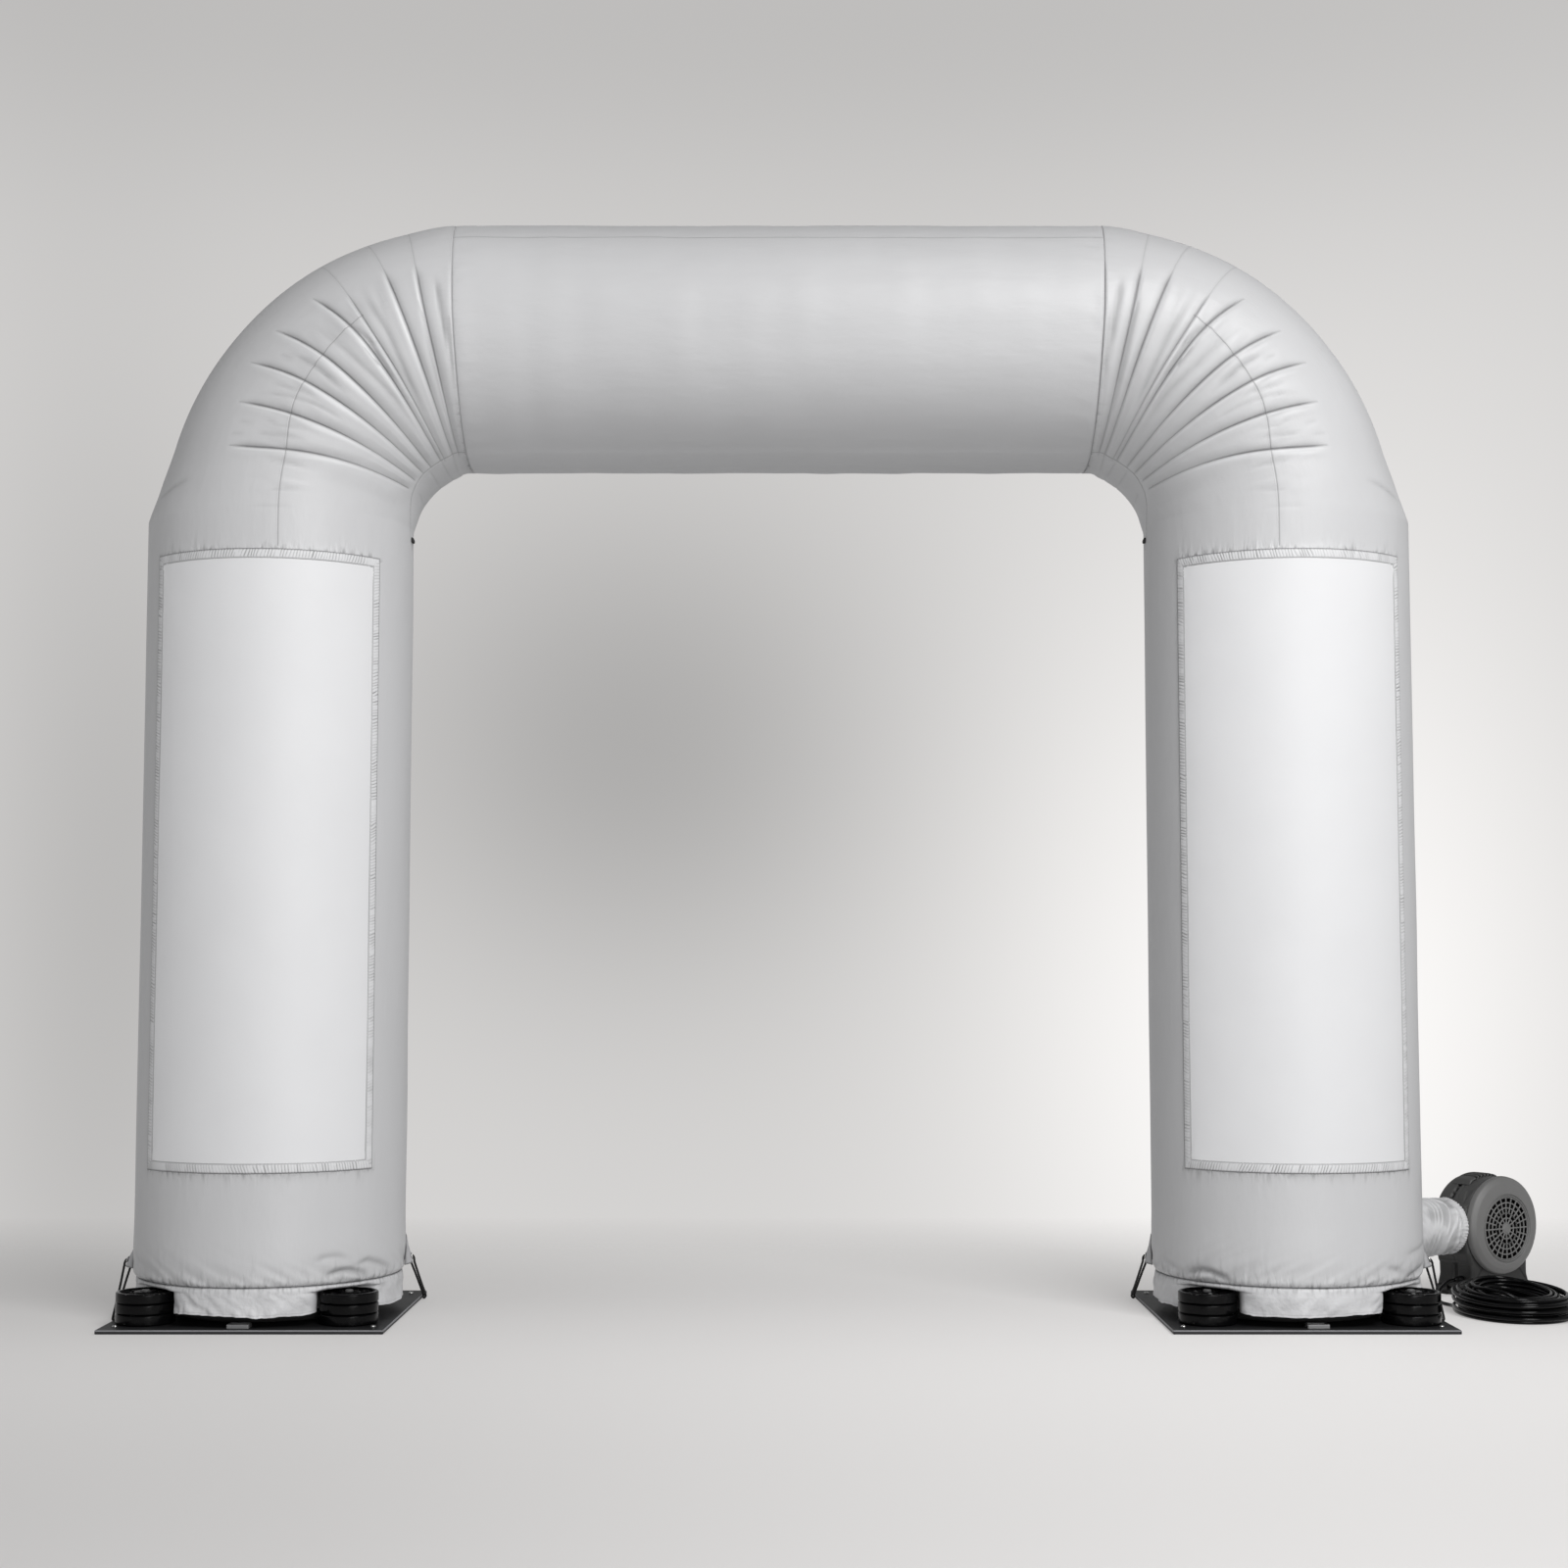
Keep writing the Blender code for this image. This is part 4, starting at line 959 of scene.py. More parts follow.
def make_seam_tip(prefix, side, finish):
    """The folded end of the bend's inner strip: a short dark loop on the leg's inner side."""
    bm = bmesh.new()
    bmesh.ops.create_uvsphere(bm, u_segments=16, v_segments=10, radius=1.0)
    bm.transform(side_place(side, -(LEG_RADIUS + 0.0015), 0.0, 2.352)
                 @ Matrix.Rotation(side * 0.35, 4, "Y")
                 @ Matrix.Diagonal((0.0055, 0.0180, 0.0105, 1.0)))
    return finish_piece(mesh_piece(prefix + "strip_tip", bm), finish, "pad_cloth")


# ------------------------------------------------------------------ panel and binding
BINDING_LOW, BINDING_HIGH, BINDING_WIDTH = 0.450, 2.258, 0.030
BINDING_FIRST, BINDING_SECOND = 39.5, 147.5     # its upright edges, in degrees round the leg
BINDING_ANGLE = 4.3                     # its width in degrees
GATHER_PITCH = 0.0092
PANEL_LIFT, BINDING_LIFT = 0.0022, 0.0010       # off the leg
PANEL_TUCK, PANEL_TUCK_ANGLE = 0.003, 0.4       # how far the panel goes on under its binding


def make_panel(prefix, side, finish):
    """The plain panel, stretched flat over the leg and pulled a little at its corners."""
    low, high = BINDING_FIRST + BINDING_ANGLE, BINDING_SECOND - BINDING_ANGLE
    bottom, top = BINDING_LOW + BINDING_WIDTH, BINDING_HIGH - BINDING_WIDTH
    around = np.linspace(low - PANEL_TUCK_ANGLE, high + PANEL_TUCK_ANGLE, 80)[None, :]
    z = np.linspace(bottom - PANEL_TUCK, top + PANEL_TUCK, 120)[:, None]
    relief = 0.0006 * smooth_noise(noise_table(41), around / 30.0, z / 0.3)
    for corner, level, sign in ((low, top, -1), (high, top, -1), (low, bottom, 1),
                                (high, bottom, 1)):
        dx = np.abs(np.radians(around - corner) * LEG_RADIUS)
        dz = np.abs(z - level)
        far, fan = np.hypot(dx, dz), np.arctan2(dz, dx)
        relief += 0.0016 * np.sin(fan * 11.0 + sign) * np.exp(-far / 0.035) * ease(0.0, 0.012, far)
    points = on_leg(side, around, LEG_RADIUS + PANEL_LIFT + relief, z)
    flat = (np.radians(around) * LEG_RADIUS + 0 * z, z + 0 * around)
    made = grid_piece(prefix + "panel_cloth", points, flip=side > 0, uv=flat)
    finish_piece(made, finish, "panel_cloth", prefix + "panel")
    return made


def make_binding(prefix, side, finish):
    """Four gathered bands with mitred corners, sewn round the panel."""
    low, high = BINDING_FIRST, BINDING_SECOND
    width = math.radians(high - low) * LEG_RADIUS
    height = BINDING_HIGH - BINDING_LOW
    upright_width = math.radians(BINDING_ANGLE) * LEG_RADIUS
    table = noise_table(51 if side < 0 else 52)
    across = np.concatenate([[-1.0, -0.94], np.linspace(-0.8, 0.8, 7), [0.94, 1.0]])[:, None]
    runs = []
    for name, upright, length in (("low", False, width), ("first", True, height),
                                  ("high", False, width), ("second", True, height)):
        start = 3.0 * len(runs)
        share = np.linspace(0.0, 1.0, int(length / 0.0016))[None, :]
        band, other = ((upright_width, BINDING_WIDTH) if upright
                       else (BINDING_WIDTH, upright_width))
        inset = other * (across + 1) / 2
        along = inset + share * (length - 2 * inset)
        place = along + start
        lean = 0.0045 * across * (1.0 + 0.8 * smooth_noise(table, place / 0.05, 0.5))
        phase = (place + lean + 0.0036 * smooth_noise(table, place / 0.021, 5.5)) / GATHER_PITCH
        size = np.clip(0.70 + 0.55 * smooth_noise(table, place / 0.013, 9.5), 0.15, 1.2)
        fold = (1.0 - np.abs(np.sin(math.pi * phase)) ** 0.6) * size
        lift = 0.0010 + 0.0026 * np.sqrt(1 - across ** 2) - 0.0020 * fold * (1 - 0.8 * across ** 4)
        lift = np.where(np.abs(across) > 0.99, 0.0004, lift)
        scallop = 0.0011 * fold * np.exp(-((across + 1.0) / 0.25) ** 2)
        off = band * (across + 1) / 2 + scallop
        if upright:
            z = BINDING_LOW + along
            turn = np.degrees(off / LEG_RADIUS)
            angle = (low + turn if name == "first" else high - turn) + 0 * z
        else:
            angle = low + np.degrees(along / LEG_RADIUS)
            z = (BINDING_LOW + off if name == "low" else BINDING_HIGH - off) + 0 * angle
        points = on_leg(side, angle, LEG_RADIUS + BINDING_LIFT + lift, z)
        turned = (name in ("first", "high")) != (side > 0)
        # painted shade in the narrow folds of the gathers
        fold_shade = np.clip((fold - 0.16) * 2.0, 0.0, 1.0) * ease(1.02, 0.55, np.abs(across + 0.1))
        runs.append(grid_piece("band", points, flip=turned, fold=fold_shade,
                               edge=band * (across + 1) / 2 + 0 * along,
                               line=band * (1 - across) / 2 + 0 * along))
    made = join(prefix + "binding_cloth", runs)
    finish_piece(made, finish, "binding_cloth", prefix + "binding")
    return made


# ------------------------------------------------------------------ foot
OUTER_STACK, INNER_STACK, STACK_FORWARD, STACK_COUNT = 0.304, -0.286, 0.267, 3
WEIGHT_THICKNESS, WEIGHT_GAP, WEIGHT_RADIUS = 0.0302, 0.0003, 0.085
SKIRT_RADIUS, SKIRT_TOP, SKIRT_DEPTH, SKIRT_GATHER = 0.3865, 0.1262, 0.085, 1.08
SKIRT_STANDS_OUT = 0.0107               # how far the skirt's widest place is beyond that
DENT_ANGLE = 12.5                       # half a weight's dent in the skirt, in degrees
CLIP_ACROSS, CLIP_FORWARD = 0.011, 0.358
BOLT_ACROSS, BOLT_FORWARD = 0.370, 0.345


def side_place(side, w, y, z=0.0):
    """A place given from a leg's axis; w is outwards, away from the walkway."""
    return Matrix.Translation((ARCH_X + side * (LEG_OFFSET + w), ARCH_Y + y, z))


def rounded(corners, steps=5):
    """A line of corners (x, y, radius) with its corners rounded."""
    line = [np.array(corners[0][:2], float)]
    for before, corner, after in zip(corners, corners[1:], corners[2:]):
        here, radius = np.array(corner[:2], float), corner[2]
        if radius == 0.0:
            line.append(here)
            continue
        one, two = np.array(before[:2]) - here, np.array(after[:2]) - here
        one, two = one / np.linalg.norm(one), two / np.linalg.norm(two)
        half = math.acos(np.clip(np.dot(one, two), -1.0, 1.0)) / 2
        cut = radius / math.tan(half)
        start, end = here + one * cut, here + two * cut
        for t in np.linspace(0.0, 1.0, steps + 1):
            line.append((1 - t) ** 2 * start + 2 * t * (1 - t) * here + t * t * end)
    line.append(np.array(corners[-1][:2], float))
    return np.array(line)


def turned_piece(name, profile, steps, place, relief=None, **attributes):
    """A turned piece: its profile's radius and height, round the axis of `place`."""
    angle = np.arange(steps) * math.tau / steps
    radius = profile[:, 0][:, None] + (relief(profile, angle) if relief else 0.0 * angle)
    radius = np.where(profile[:, 0][:, None] <= 0.0, 0.0, radius)
    points = np.stack([radius * np.cos(angle), radius * np.sin(angle),
                       profile[:, 1][:, None] + 0 * angle], -1)
    given = {key: np.asarray(value)[:, None] + 0 * angle for key, value in attributes.items()}
    made = grid_piece(name, points, wrap=True, closed=True, caps=False, **given)
    made.data.transform(place)
    return made


WEIGHT_RIBS = 10
WEIGHT_CORNERS = (
    # radius, height, rounding
    (0.0135, 0.0010, 0.0), (0.0200, 0.0004, 0.0), (0.0810, 0.0004, 0.0012),
    (0.0850, 0.0032, 0.0024), (0.0850, 0.0272, 0.0024), (0.0815, 0.0300, 0.0014),
    (0.0745, 0.0300, 0.0016), (0.0705, 0.0232, 0.0024), (0.0350, 0.0232, 0.0024),
    (0.0315, 0.0292, 0.0016), (0.0160, 0.0292, 0.0016), (0.0135, 0.0275, 0.0),
    (0.0135, 0.0010, 0.0),
)


def weight_ribs(place, finish):
    """Radial ribs cast in the top weight's dish: one rib, set round a circle."""
    bm = bmesh.new()
    bmesh.ops.create_cube(bm, size=1.0)
    for vert in bm.verts:
        vert.co.x = 0.052 + vert.co.x * 0.036
        vert.co.y *= 0.0042 if vert.co.z < 0 else 0.0026
        vert.co.z = 0.0250 + vert.co.z * 0.0050
    rib = mesh_piece("rib", bm)
    turns = [Matrix.Rotation(math.tau * n / WEIGHT_RIBS, 4, "Z") for n in range(WEIGHT_RIBS)]
    made = set_along(rib, "weight_ribs", turns, finish)
    made.data.transform(place)
    return made


def make_weight(name, node, place, top, finish):
    """A cast disc, a little uneven round it; the top one shows its ribs."""
    profile = rounded(WEIGHT_CORNERS, 4)
    table = noise_table(81 + len(name))
    turn = table[3, 5] * math.pi

    def uneven(profile, angle):
        return 0.0006 * smooth_noise(table, (angle[None, :] + turn) / 0.21 + 9.0,
                                     profile[:, 1][:, None] / 0.011)

    # where the top rim's chips can be, and the line of the painted highlight along the upper rim
    # edge
    rim = np.exp(-np.hypot(profile[:, 0] - 0.0835, profile[:, 1] - 0.0290) / 0.0018)
    made = turned_piece(name, profile, 60, place, uneven, rim_wear=rim)
    if top:
        made = join(name, [made, weight_ribs(place, finish)])
    return finish_piece(made, finish, "weight_iron", node)


def make_stud(name, node, place, finish):
    """A threaded stud with a chamfered end."""
    thread = [(0.0, PLATE_TOP), (0.0122, PLATE_TOP)]
    for z in np.arange(0.0800, 0.1035, 0.0020):
        thread += [(0.0125, z), (0.0125, z + 0.0004), (0.0114, z + 0.0012), (0.0114, z + 0.0014)]
    thread += [(0.0120, 0.1045), (0.0095, 0.1076), (0.0, 0.1080)]
    made = turned_piece(name, np.array(thread), 28, place)
    return finish_piece(made, finish, "stud_steel", node, smooth=False)


def dent(around):
    """How far the weights press the skirt in, and how near a stack is, round the leg."""
    pressed, near = np.zeros(np.shape(around)), np.zeros(np.shape(around))
    skirt = SKIRT_RADIUS + SKIRT_STANDS_OUT
    for across in (OUTER_STACK, INNER_STACK):
        depth = skirt - (math.hypot(across, STACK_FORWARD) - WEIGHT_RADIUS)
        off = (around - math.degrees(math.atan2(STACK_FORWARD, across))) / DENT_ANGLE
        pressed = np.maximum(pressed, depth / (1.0 + off ** 8))
        near = np.maximum(near, 1.0 / (1.0 + (off / 1.15) ** 6))
    return pressed, near


SKIRT_LINE = np.array((
    # z, radius, share of the weights' dent
    (0.1268, 0.3850, 0.0), (0.1262, 0.3880, 0.0), (0.1245, 0.3902, 0.0), (0.1200, 0.3918, 0.0),
    (0.1150, 0.3925, 0.04), (0.1100, 0.3925, 0.25), (0.1082, 0.3925, 0.70),
    (0.1066, 0.3925, 1.0), (0.0750, 0.3917, 1.0), (0.0460, 0.3925, 1.0),
))


def ridged(table, x, y):
    """Sharp soft-sided ridges, 1 at a ridge and 0 between ridges."""
    return 1.0 - np.minimum(np.abs(smooth_noise(table, x, y)) * 2.6, 1.0)


def make_skirt(prefix, side, finish):
    """The skirt: gathered into the leg's seam, crumpled, with a ruffled hem."""
    chord = lengths_along(SKIRT_LINE[:, :2])
    at = np.concatenate([np.linspace(0.0, 0.010, 5)[:-1], np.linspace(0.010, chord[-1], 46)])
    z, radius, pushed = (curve_through(chord, SKIRT_LINE[:, n], at)[:, None] for n in range(3))
    columns = 480
    around = (np.arange(columns) * ALL_ROUND / columns)[None, :]
    x = np.radians(around) * SKIRT_RADIUS
    down = SKIRT_TOP - z
    table = noise_table(91 if side < 0 else 92)
    pressed, near = dent(around)
    calm = 1.0 - 0.85 * near
    body = 0.25 + 0.75 * ease(0.004, 0.030, down)
    facet = smooth_noise(table, (x + 0.5 * down) / 0.052, down / 0.046 + 3.0)
    cross = smooth_noise(table, (x - 0.9 * down) / 0.023 + 17.0, down / 0.036)
    relief = body * (0.0044 * facet + 0.0030 * cross)
    relief -= 0.0020 * np.exp(-(down / 0.004) ** 2)
    low = ease(0.046, 0.082, down)
    hem = smooth_noise(table, x / 0.011, 12.5) + 0.9 * smooth_noise(table, x / 0.030, 14.5)
    relief += low * (0.0026 * hem + 0.0016 * np.sin(np.radians(around) * 12))
    radius = radius - pressed * pushed + relief * calm
    z = z + low * (0.0030 * np.cos(np.radians(around * 5 + 40.0))
                   + 0.0016 * smooth_noise(table, x / 0.013, 20.5)
                   + 0.0022 * smooth_noise(table, x / 0.055, 24.5))
    points = on_leg(side, around, radius, z)
    made = grid_piece(prefix + "skirt_cloth", points, wrap=True, flip=side > 0,
                      uv=(x + 0 * z, down + 0 * x, math.tau * SKIRT_RADIUS),
                      hem=down - 0.0735 + 0 * x, gather=down + 0 * x)
    finish_piece(made, finish, "skirt_cloth", prefix + "skirt")
    return made


def make_base_pad(prefix, side, finish):
    """The dark pad that the leg stands on."""
    corners = ((0.0, PLATE_TOP, 0.0), (0.285, PLATE_TOP, 0.020), (0.285, 0.062, 0.0),
               (0.285, 0.113, 0.024), (0.0, 0.113, 0.0))
    profile = rounded(corners, 6)
    table = noise_table(95)

    def soft(profile, angle):
        return (0.003 * smooth_noise(table, angle[None, :] / 0.3, profile[:, 1][:, None] / 0.03)
                - 0.003)

    made = turned_piece(prefix + "base_pad_cover", profile, 96, side_place(side, 0.0, 0.0), soft)
    finish_piece(made, finish, "pad_cloth", prefix + "base_pad")
    return made


def make_clip(prefix, side, finish):
    """A pressed steel clip: a low tray with a raised rim, bolted to the plate."""
    bm = bmesh.new()
    rings = ((0.0320, 0.0230, 0.0), (0.0320, 0.0230, 0.0085), (0.0312, 0.0222, 0.0103),
             (0.0295, 0.0205, 0.0108), (0.0278, 0.0188, 0.0103), (0.0268, 0.0178, 0.0085),
             (0.0262, 0.0172, 0.0060))
    loops = []
    rounding = 0.004
    for half_x, half_y, z in rings:
        loop = []
        for cx, cy, start in ((1, 1, 0), (-1, 1, 90), (-1, -1, 180), (1, -1, 270)):
            for step in range(5):
                angle = math.radians(start + 22.5 * step)
                x = cx * (half_x - rounding) + rounding * math.cos(angle)
                y = cy * (half_y - rounding) + rounding * math.sin(angle)
                loop.append(bm.verts.new((x, y, z)))
        loops.append(loop)
    for one, two in zip(loops, loops[1:]):
        for k in range(len(one)):
            n = (k + 1) % len(one)
            bm.faces.new((one[k], one[n], two[n], two[k]))
    bm.faces.new(loops[0][::-1])
    bm.faces.new(loops[-1])
    made = mesh_piece(prefix + "clip_tray", bm)
    made.data.transform(side_place(side, CLIP_ACROSS, -CLIP_FORWARD, PLATE_TOP))
    return finish_piece(made, finish, "plate_steel", prefix + "plate_clip", smooth=False)


def set_along(piece, name, places, finish):
    """Copies of a small piece at given places, made by Geometry Nodes and realised.

    The places are a mesh's points, each with its turn as an attribute."""
    tree, given, add = node_group("set_" + name, (("Geometry", "Geometry"), ("Piece", "Object")))
    start = add("NodeGroupInput")
    info = add("GeometryNodeObjectInfo", {"Object": start["Piece"]})
    turn = add("GeometryNodeInputNamedAttribute", {"Name": "turn"}, data_type="FLOAT_VECTOR")
    spin = add("FunctionNodeEulerToRotation", {"Euler": turn["Attribute"]})
    copies = add("GeometryNodeInstanceOnPoints", {
        "Points": start["Geometry"], "Instance": info["Geometry"], "Rotation": spin["Rotation"]})
    real = add("GeometryNodeRealizeInstances", {"Geometry": copies["Instances"]})
    painted = add("GeometryNodeSetMaterial", {"Geometry": real["Geometry"],
                                              "Material": finish.material})
    add("NodeGroupOutput", {"Geometry": painted["Geometry"]})
    mesh = bpy.data.meshes.new(name)
    mesh.from_pydata([tuple(m.translation) for m in places], [], [])
    turns = mesh.attributes.new("turn", "FLOAT_VECTOR", "POINT")
    turns.data.foreach_set("vector", [a for m in places for a in m.to_euler()])
    made = add_object(name, mesh)
    modifier = made.modifiers.new("set", "NODES")
    modifier.node_group = tree
    modifier[given["Piece"].identifier] = piece
    bpy.context.view_layer.update()
    settle(made)
    bpy.data.objects.remove(piece)
    return made


def make_bolts(prefix, side, finish):
    """Low domed bolts near the plate's corners, sunk a little into it."""
    corners = ((0.0, 0.0030, 0.0), (0.0026, 0.0030, 0.0), (0.0032, 0.0044, 0.0006),
               (0.0058, 0.0040, 0.002), (0.0078, 0.0012, 0.0006), (0.0078, 0.0, 0.0),
               (0.0, 0.0, 0.0))
    sunk = 0.0002
    bolt = turned_piece("bolt", rounded(corners, 2), 20, Matrix.Identity(4))
    places = [side_place(side, across * BOLT_ACROSS, forward * BOLT_FORWARD, PLATE_TOP - sunk)
              for across in (-1, 1) for forward in (-1, 1)]
    made = set_along(bolt, prefix + "plate_bolts", places, finish)
    return finish_piece(made, finish, "stud_steel")


def make_foot(prefix, side, finishes):
    """All that is under a leg and on its plate."""
    make_base_pad(prefix, side, finishes["pad"])
    make_skirt(prefix, side, finishes["skirt"])
    make_clip(prefix, side, finishes["clip"])
    make_bolts(prefix, side, finishes["bright"])
    for across, word in ((OUTER_STACK, "outer"), (INNER_STACK, "inner")):
        for level in range(STACK_COUNT):
            lift = PLATE_TOP + level * (WEIGHT_THICKNESS + WEIGHT_GAP)
            place = side_place(side, across, -STACK_FORWARD, lift)
            make_weight(f"{prefix}{word}_disc_{level + 1}", f"{prefix}{word}_weight_{level + 1}",
                        place, level == STACK_COUNT - 1, finishes["iron"])
        stud = f"{prefix}{word}_stud"
        make_stud(stud + "_thread", stud, side_place(side, across, -STACK_FORWARD),
                  finishes["clip"])


# ------------------------------------------------------------------ ties
TAB_TOP, TAB_LOW, TAB_HALF_ANGLE = 0.226, 0.142, 10.0
TAB_CLEAR, TIE_CLEAR, ROPE_RADIUS, ROPE_STEP = 0.0035, 0.0095, 0.0035, 0.0028
TAB_THICKNESS, TAB_AREA_SHARE = 0.0012, 0.70
TAB_PULL = np.array((
    # z, how far the tab is drawn off the leg
    (0.142, 1.0), (0.152, 0.87), (0.174, 0.60), (0.200, 0.24), (0.226, 0.0),
))
EYELET_Z, EYELET_HOLE = 0.1600, 0.0068
EYELET_CORNERS = (
    # radius, height, rounding
    (0.0058, -0.0014, 0.0), (0.0058, 0.0016, 0.0008), (0.0070, 0.0026, 0.0014),
    (0.0100, 0.0016, 0.0008), (0.0104, 0.0004, 0.0), (0.0104, -0.0008, 0.0),
    (0.0058, -0.0014, 0.0),
)
TIES = (
    # word, around, pull, then where the tie goes over the plate's edge
    ("outer", 0.0, 0.034, 0.410, -0.180),
    ("inner", 192.0, 0.020, -0.410, 0.300),
)
TIE_LOOP = (
    # share of the pull, z
    (0.96, 0.142), (0.91, 0.151), (0.78, 0.1592), (0.54, 0.1618), (0.36, 0.1570), (0.31, 0.149),
)
TIE_TURN = (
    # out from the plate's edge, z
    (0.0047, 0.016), (0.0047, 0.0075), (0.0085, 0.0042), (0.0122, 0.0075), (0.0122, 0.016),
)
TIE_DRAWN_IN = 0.13                     # how far its two strands are drawn to each other


def tab_point(side, around, pull, across, z):
    """A place on a tab: across from -1 to 1."""
    width = 0.35 + 0.65 * (TAB_TOP - z) / (TAB_TOP - TAB_LOW)
    angle = around + across * TAB_HALF_ANGLE * width
    bulge = 1.0 - np.abs(across) ** 1.5
    radius = LEG_RADIUS + TAB_CLEAR + pull * read(TAB_PULL, z) * bulge
    return on_leg(side, angle, radius, z)


def make_tab(name, node, side, around, pull, finish, metal):
    """A triangular tab, sewn to the leg at its top and its sides, with an eyelet."""
    across = np.linspace(-1.0, 1.0, 41)[None, :]
    z = np.linspace(TAB_LOW, TAB_TOP, 45)[:, None]
    table = noise_table(101)
    points = tab_point(side, around, pull, across + 0 * z, z + 0 * across)
    out = math.radians(around)
    outward = np.array((side * math.cos(out), -math.sin(out), 0.0))
    crinkle = 0.0009 * smooth_noise(table, across / 0.25, z / 0.012)
    crinkle -= 0.0012 * np.exp(-((1.0 - np.abs(across)) / 0.12) ** 2)
    points = points + crinkle[..., None] * outward
    edge = np.minimum(1.0 - np.abs(across), (z - TAB_LOW) / 0.035)
    made = grid_piece(name, points, flip=side < 0, seam=edge * 0.035)
    bm = bmesh.new()
    bm.from_mesh(made.data)
    above, eye, below = (Vector(tab_point(side, around, pull, np.array(0.0), np.array(level)))
                         for level in (EYELET_Z + 0.004, EYELET_Z, EYELET_Z - 0.004))
    near = [v for v in bm.verts if (v.co - eye).length < EYELET_HOLE]
    bmesh.ops.delete(bm, geom=near, context="VERTS")
    bm.to_mesh(made.data)
    bm.free()
    made = thicken(made, TAB_THICKNESS)
    finish_piece(made, finish, "skirt_cloth", node)
    up = (above - below).normalized()
    sideways = Vector((-outward[1], outward[0], 0.0))
    normal = sideways.cross(up) * (1.0 if sideways.cross(up).dot(Vector(outward)) > 0 else -1.0)
    turn = Matrix((sideways, normal.cross(sideways), normal)).transposed().to_4x4()
    ring = turned_piece(name + "_eyelet", rounded(EYELET_CORNERS, 3), 32,
                        Matrix.Translation(eye + normal * TAB_THICKNESS) @ turn)
    finish_piece(ring, metal, "stud_steel")
    return made


def tie_line(side, around, pull, plate_w, plate_y):
    """A tie's loop: through the eyelet, down to the plate's edge, under it and back up."""
    angle = math.radians(around)
    out = math.copysign(1.0, plate_w)

    def hung(share, z):
        radius = LEG_RADIUS + TIE_CLEAR + share * pull
        return Vector((radius * math.cos(angle), -radius * math.sin(angle), z))

    loop = [hung(share, z) for share, z in TIE_LOOP]
    turn = [Vector((plate_w + out * off, plate_y, z)) for off, z in TIE_TURN]
    down = [loop[-1].lerp(turn[0], share) for share in (0.35, 0.70)]
    up = [turn[-1].lerp(loop[0], share) for share in (0.30, 0.65)]
    for one, other in zip(down, reversed(up)):
        middle = one.lerp(other, 0.5)
        one.xyz, other.xyz = (end.lerp(middle, TIE_DRAWN_IN) for end in (one, other))
    return [Vector((ARCH_X + side * (LEG_OFFSET + p.x), ARCH_Y + p.y, p.z))
            for p in loop + down + turn + up]


def make_tie(name, node, side, around, pull, plate_w, plate_y, finish):
    """A braided rope loop from the tab's eyelet to the plate's edge."""
    points = tie_line(side, around, pull, plate_w, plate_y)
    line = smooth_line(points, ROPE_STEP, closed=True)
    braid_pitch = 0.014

    def braid(along, angle):
        one = np.sin(3 * angle + along * math.tau / braid_pitch)
        two = np.sin(3 * angle - along * math.tau / braid_pitch)
        return 0.00032 * np.maximum(one, two) - 0.0002

    made = tube_piece(name, line, ROPE_RADIUS, 16, closed=True, relief=braid)
    return finish_piece(made, finish, "tie_rope", node)


def make_ties(prefix, side, finishes):
    """The two tabs of a leg and the rope loops that hold them down."""
    for word, around, pull, plate_w, plate_y in TIES:
        make_tab(f"{prefix}{word}_tab_cloth", f"{prefix}{word}_tab", side, around, pull,
                 finishes["tab"], finishes["bright"])
        make_tie(f"{prefix}{word}_rope", f"{prefix}{word}_tie", side, around, pull,
                 plate_w, plate_y, finishes["rope"])


# ------------------------------------------------------------------ blower
BLOWER_TURN, BLOWER_REACH, OUTLET_BACK, FAN_Z = 32.0, 0.857, 0.100, 0.220
HOUSING_RADIUS, HOUSING_FRONT, HOUSING_BACK = 0.150, 0.0300, 0.1700
HOUSING_FOOT, HOUSING_LOW = 0.132, 0.0303       # half its width at its foot, and its height
GLAND_PLACE = (-0.1323, 0.070, 0.053)
CLEAR = 0.0003                          # between the blower's hard pieces
HUMP_RADIUS, HUMP_BACK, HUMP_FROM, HUMP_TO = 0.1512, 0.110, 66.5, 123.5
GRILLE_DROP = 0.009                     # how far the grille sits below the fan's axis
SLEEVE_RADIUS = 0.088
SLEEVE_START, SLEEVE_CHANNEL, SLEEVE_END = 0.400, 0.676, 0.697  # from the leg's axis
SLEEVE_CLEAR = 0.0025                   # from the leg's wall
SLEEVE_SEAM = 260.958                   # round the sleeve, in degrees
SLEEVE_LINE = np.array((
    # distance from the leg's axis, radius
    (0.400, 0.0875), (0.440, 0.0880), (0.510, 0.0890), (0.600, 0.0887), (0.650, 0.0880),
    (0.666, 0.0868), (0.675, 0.0838), (0.681, 0.0850), (0.688, 0.0876), (0.697, 0.0880),
))
FACE_CORNERS = (
    # radius, back from the face, rounding
    (0.1000, 0.0060, 0.0), (0.1000, -0.0005, 0.001), (0.1015, -0.0030, 0.001),
    (0.1035, -0.0030, 0.0008), (0.1042, -0.0006, 0.0008), (0.1062, -0.0002, 0.0008),
    (0.1078, -0.0038, 0.002), (0.1140, -0.0042, 0.006), (0.1360, 0.0005, 0.012),
    (0.1520, 0.0110, 0.012), (0.1540, 0.0240, 0.004), (0.1540, 0.0280, 0.0015),
    (0.1500, 0.0297, 0.0), (0.1000, 0.0297, 0.0), (0.1000, 0.0060, 0.0),
)


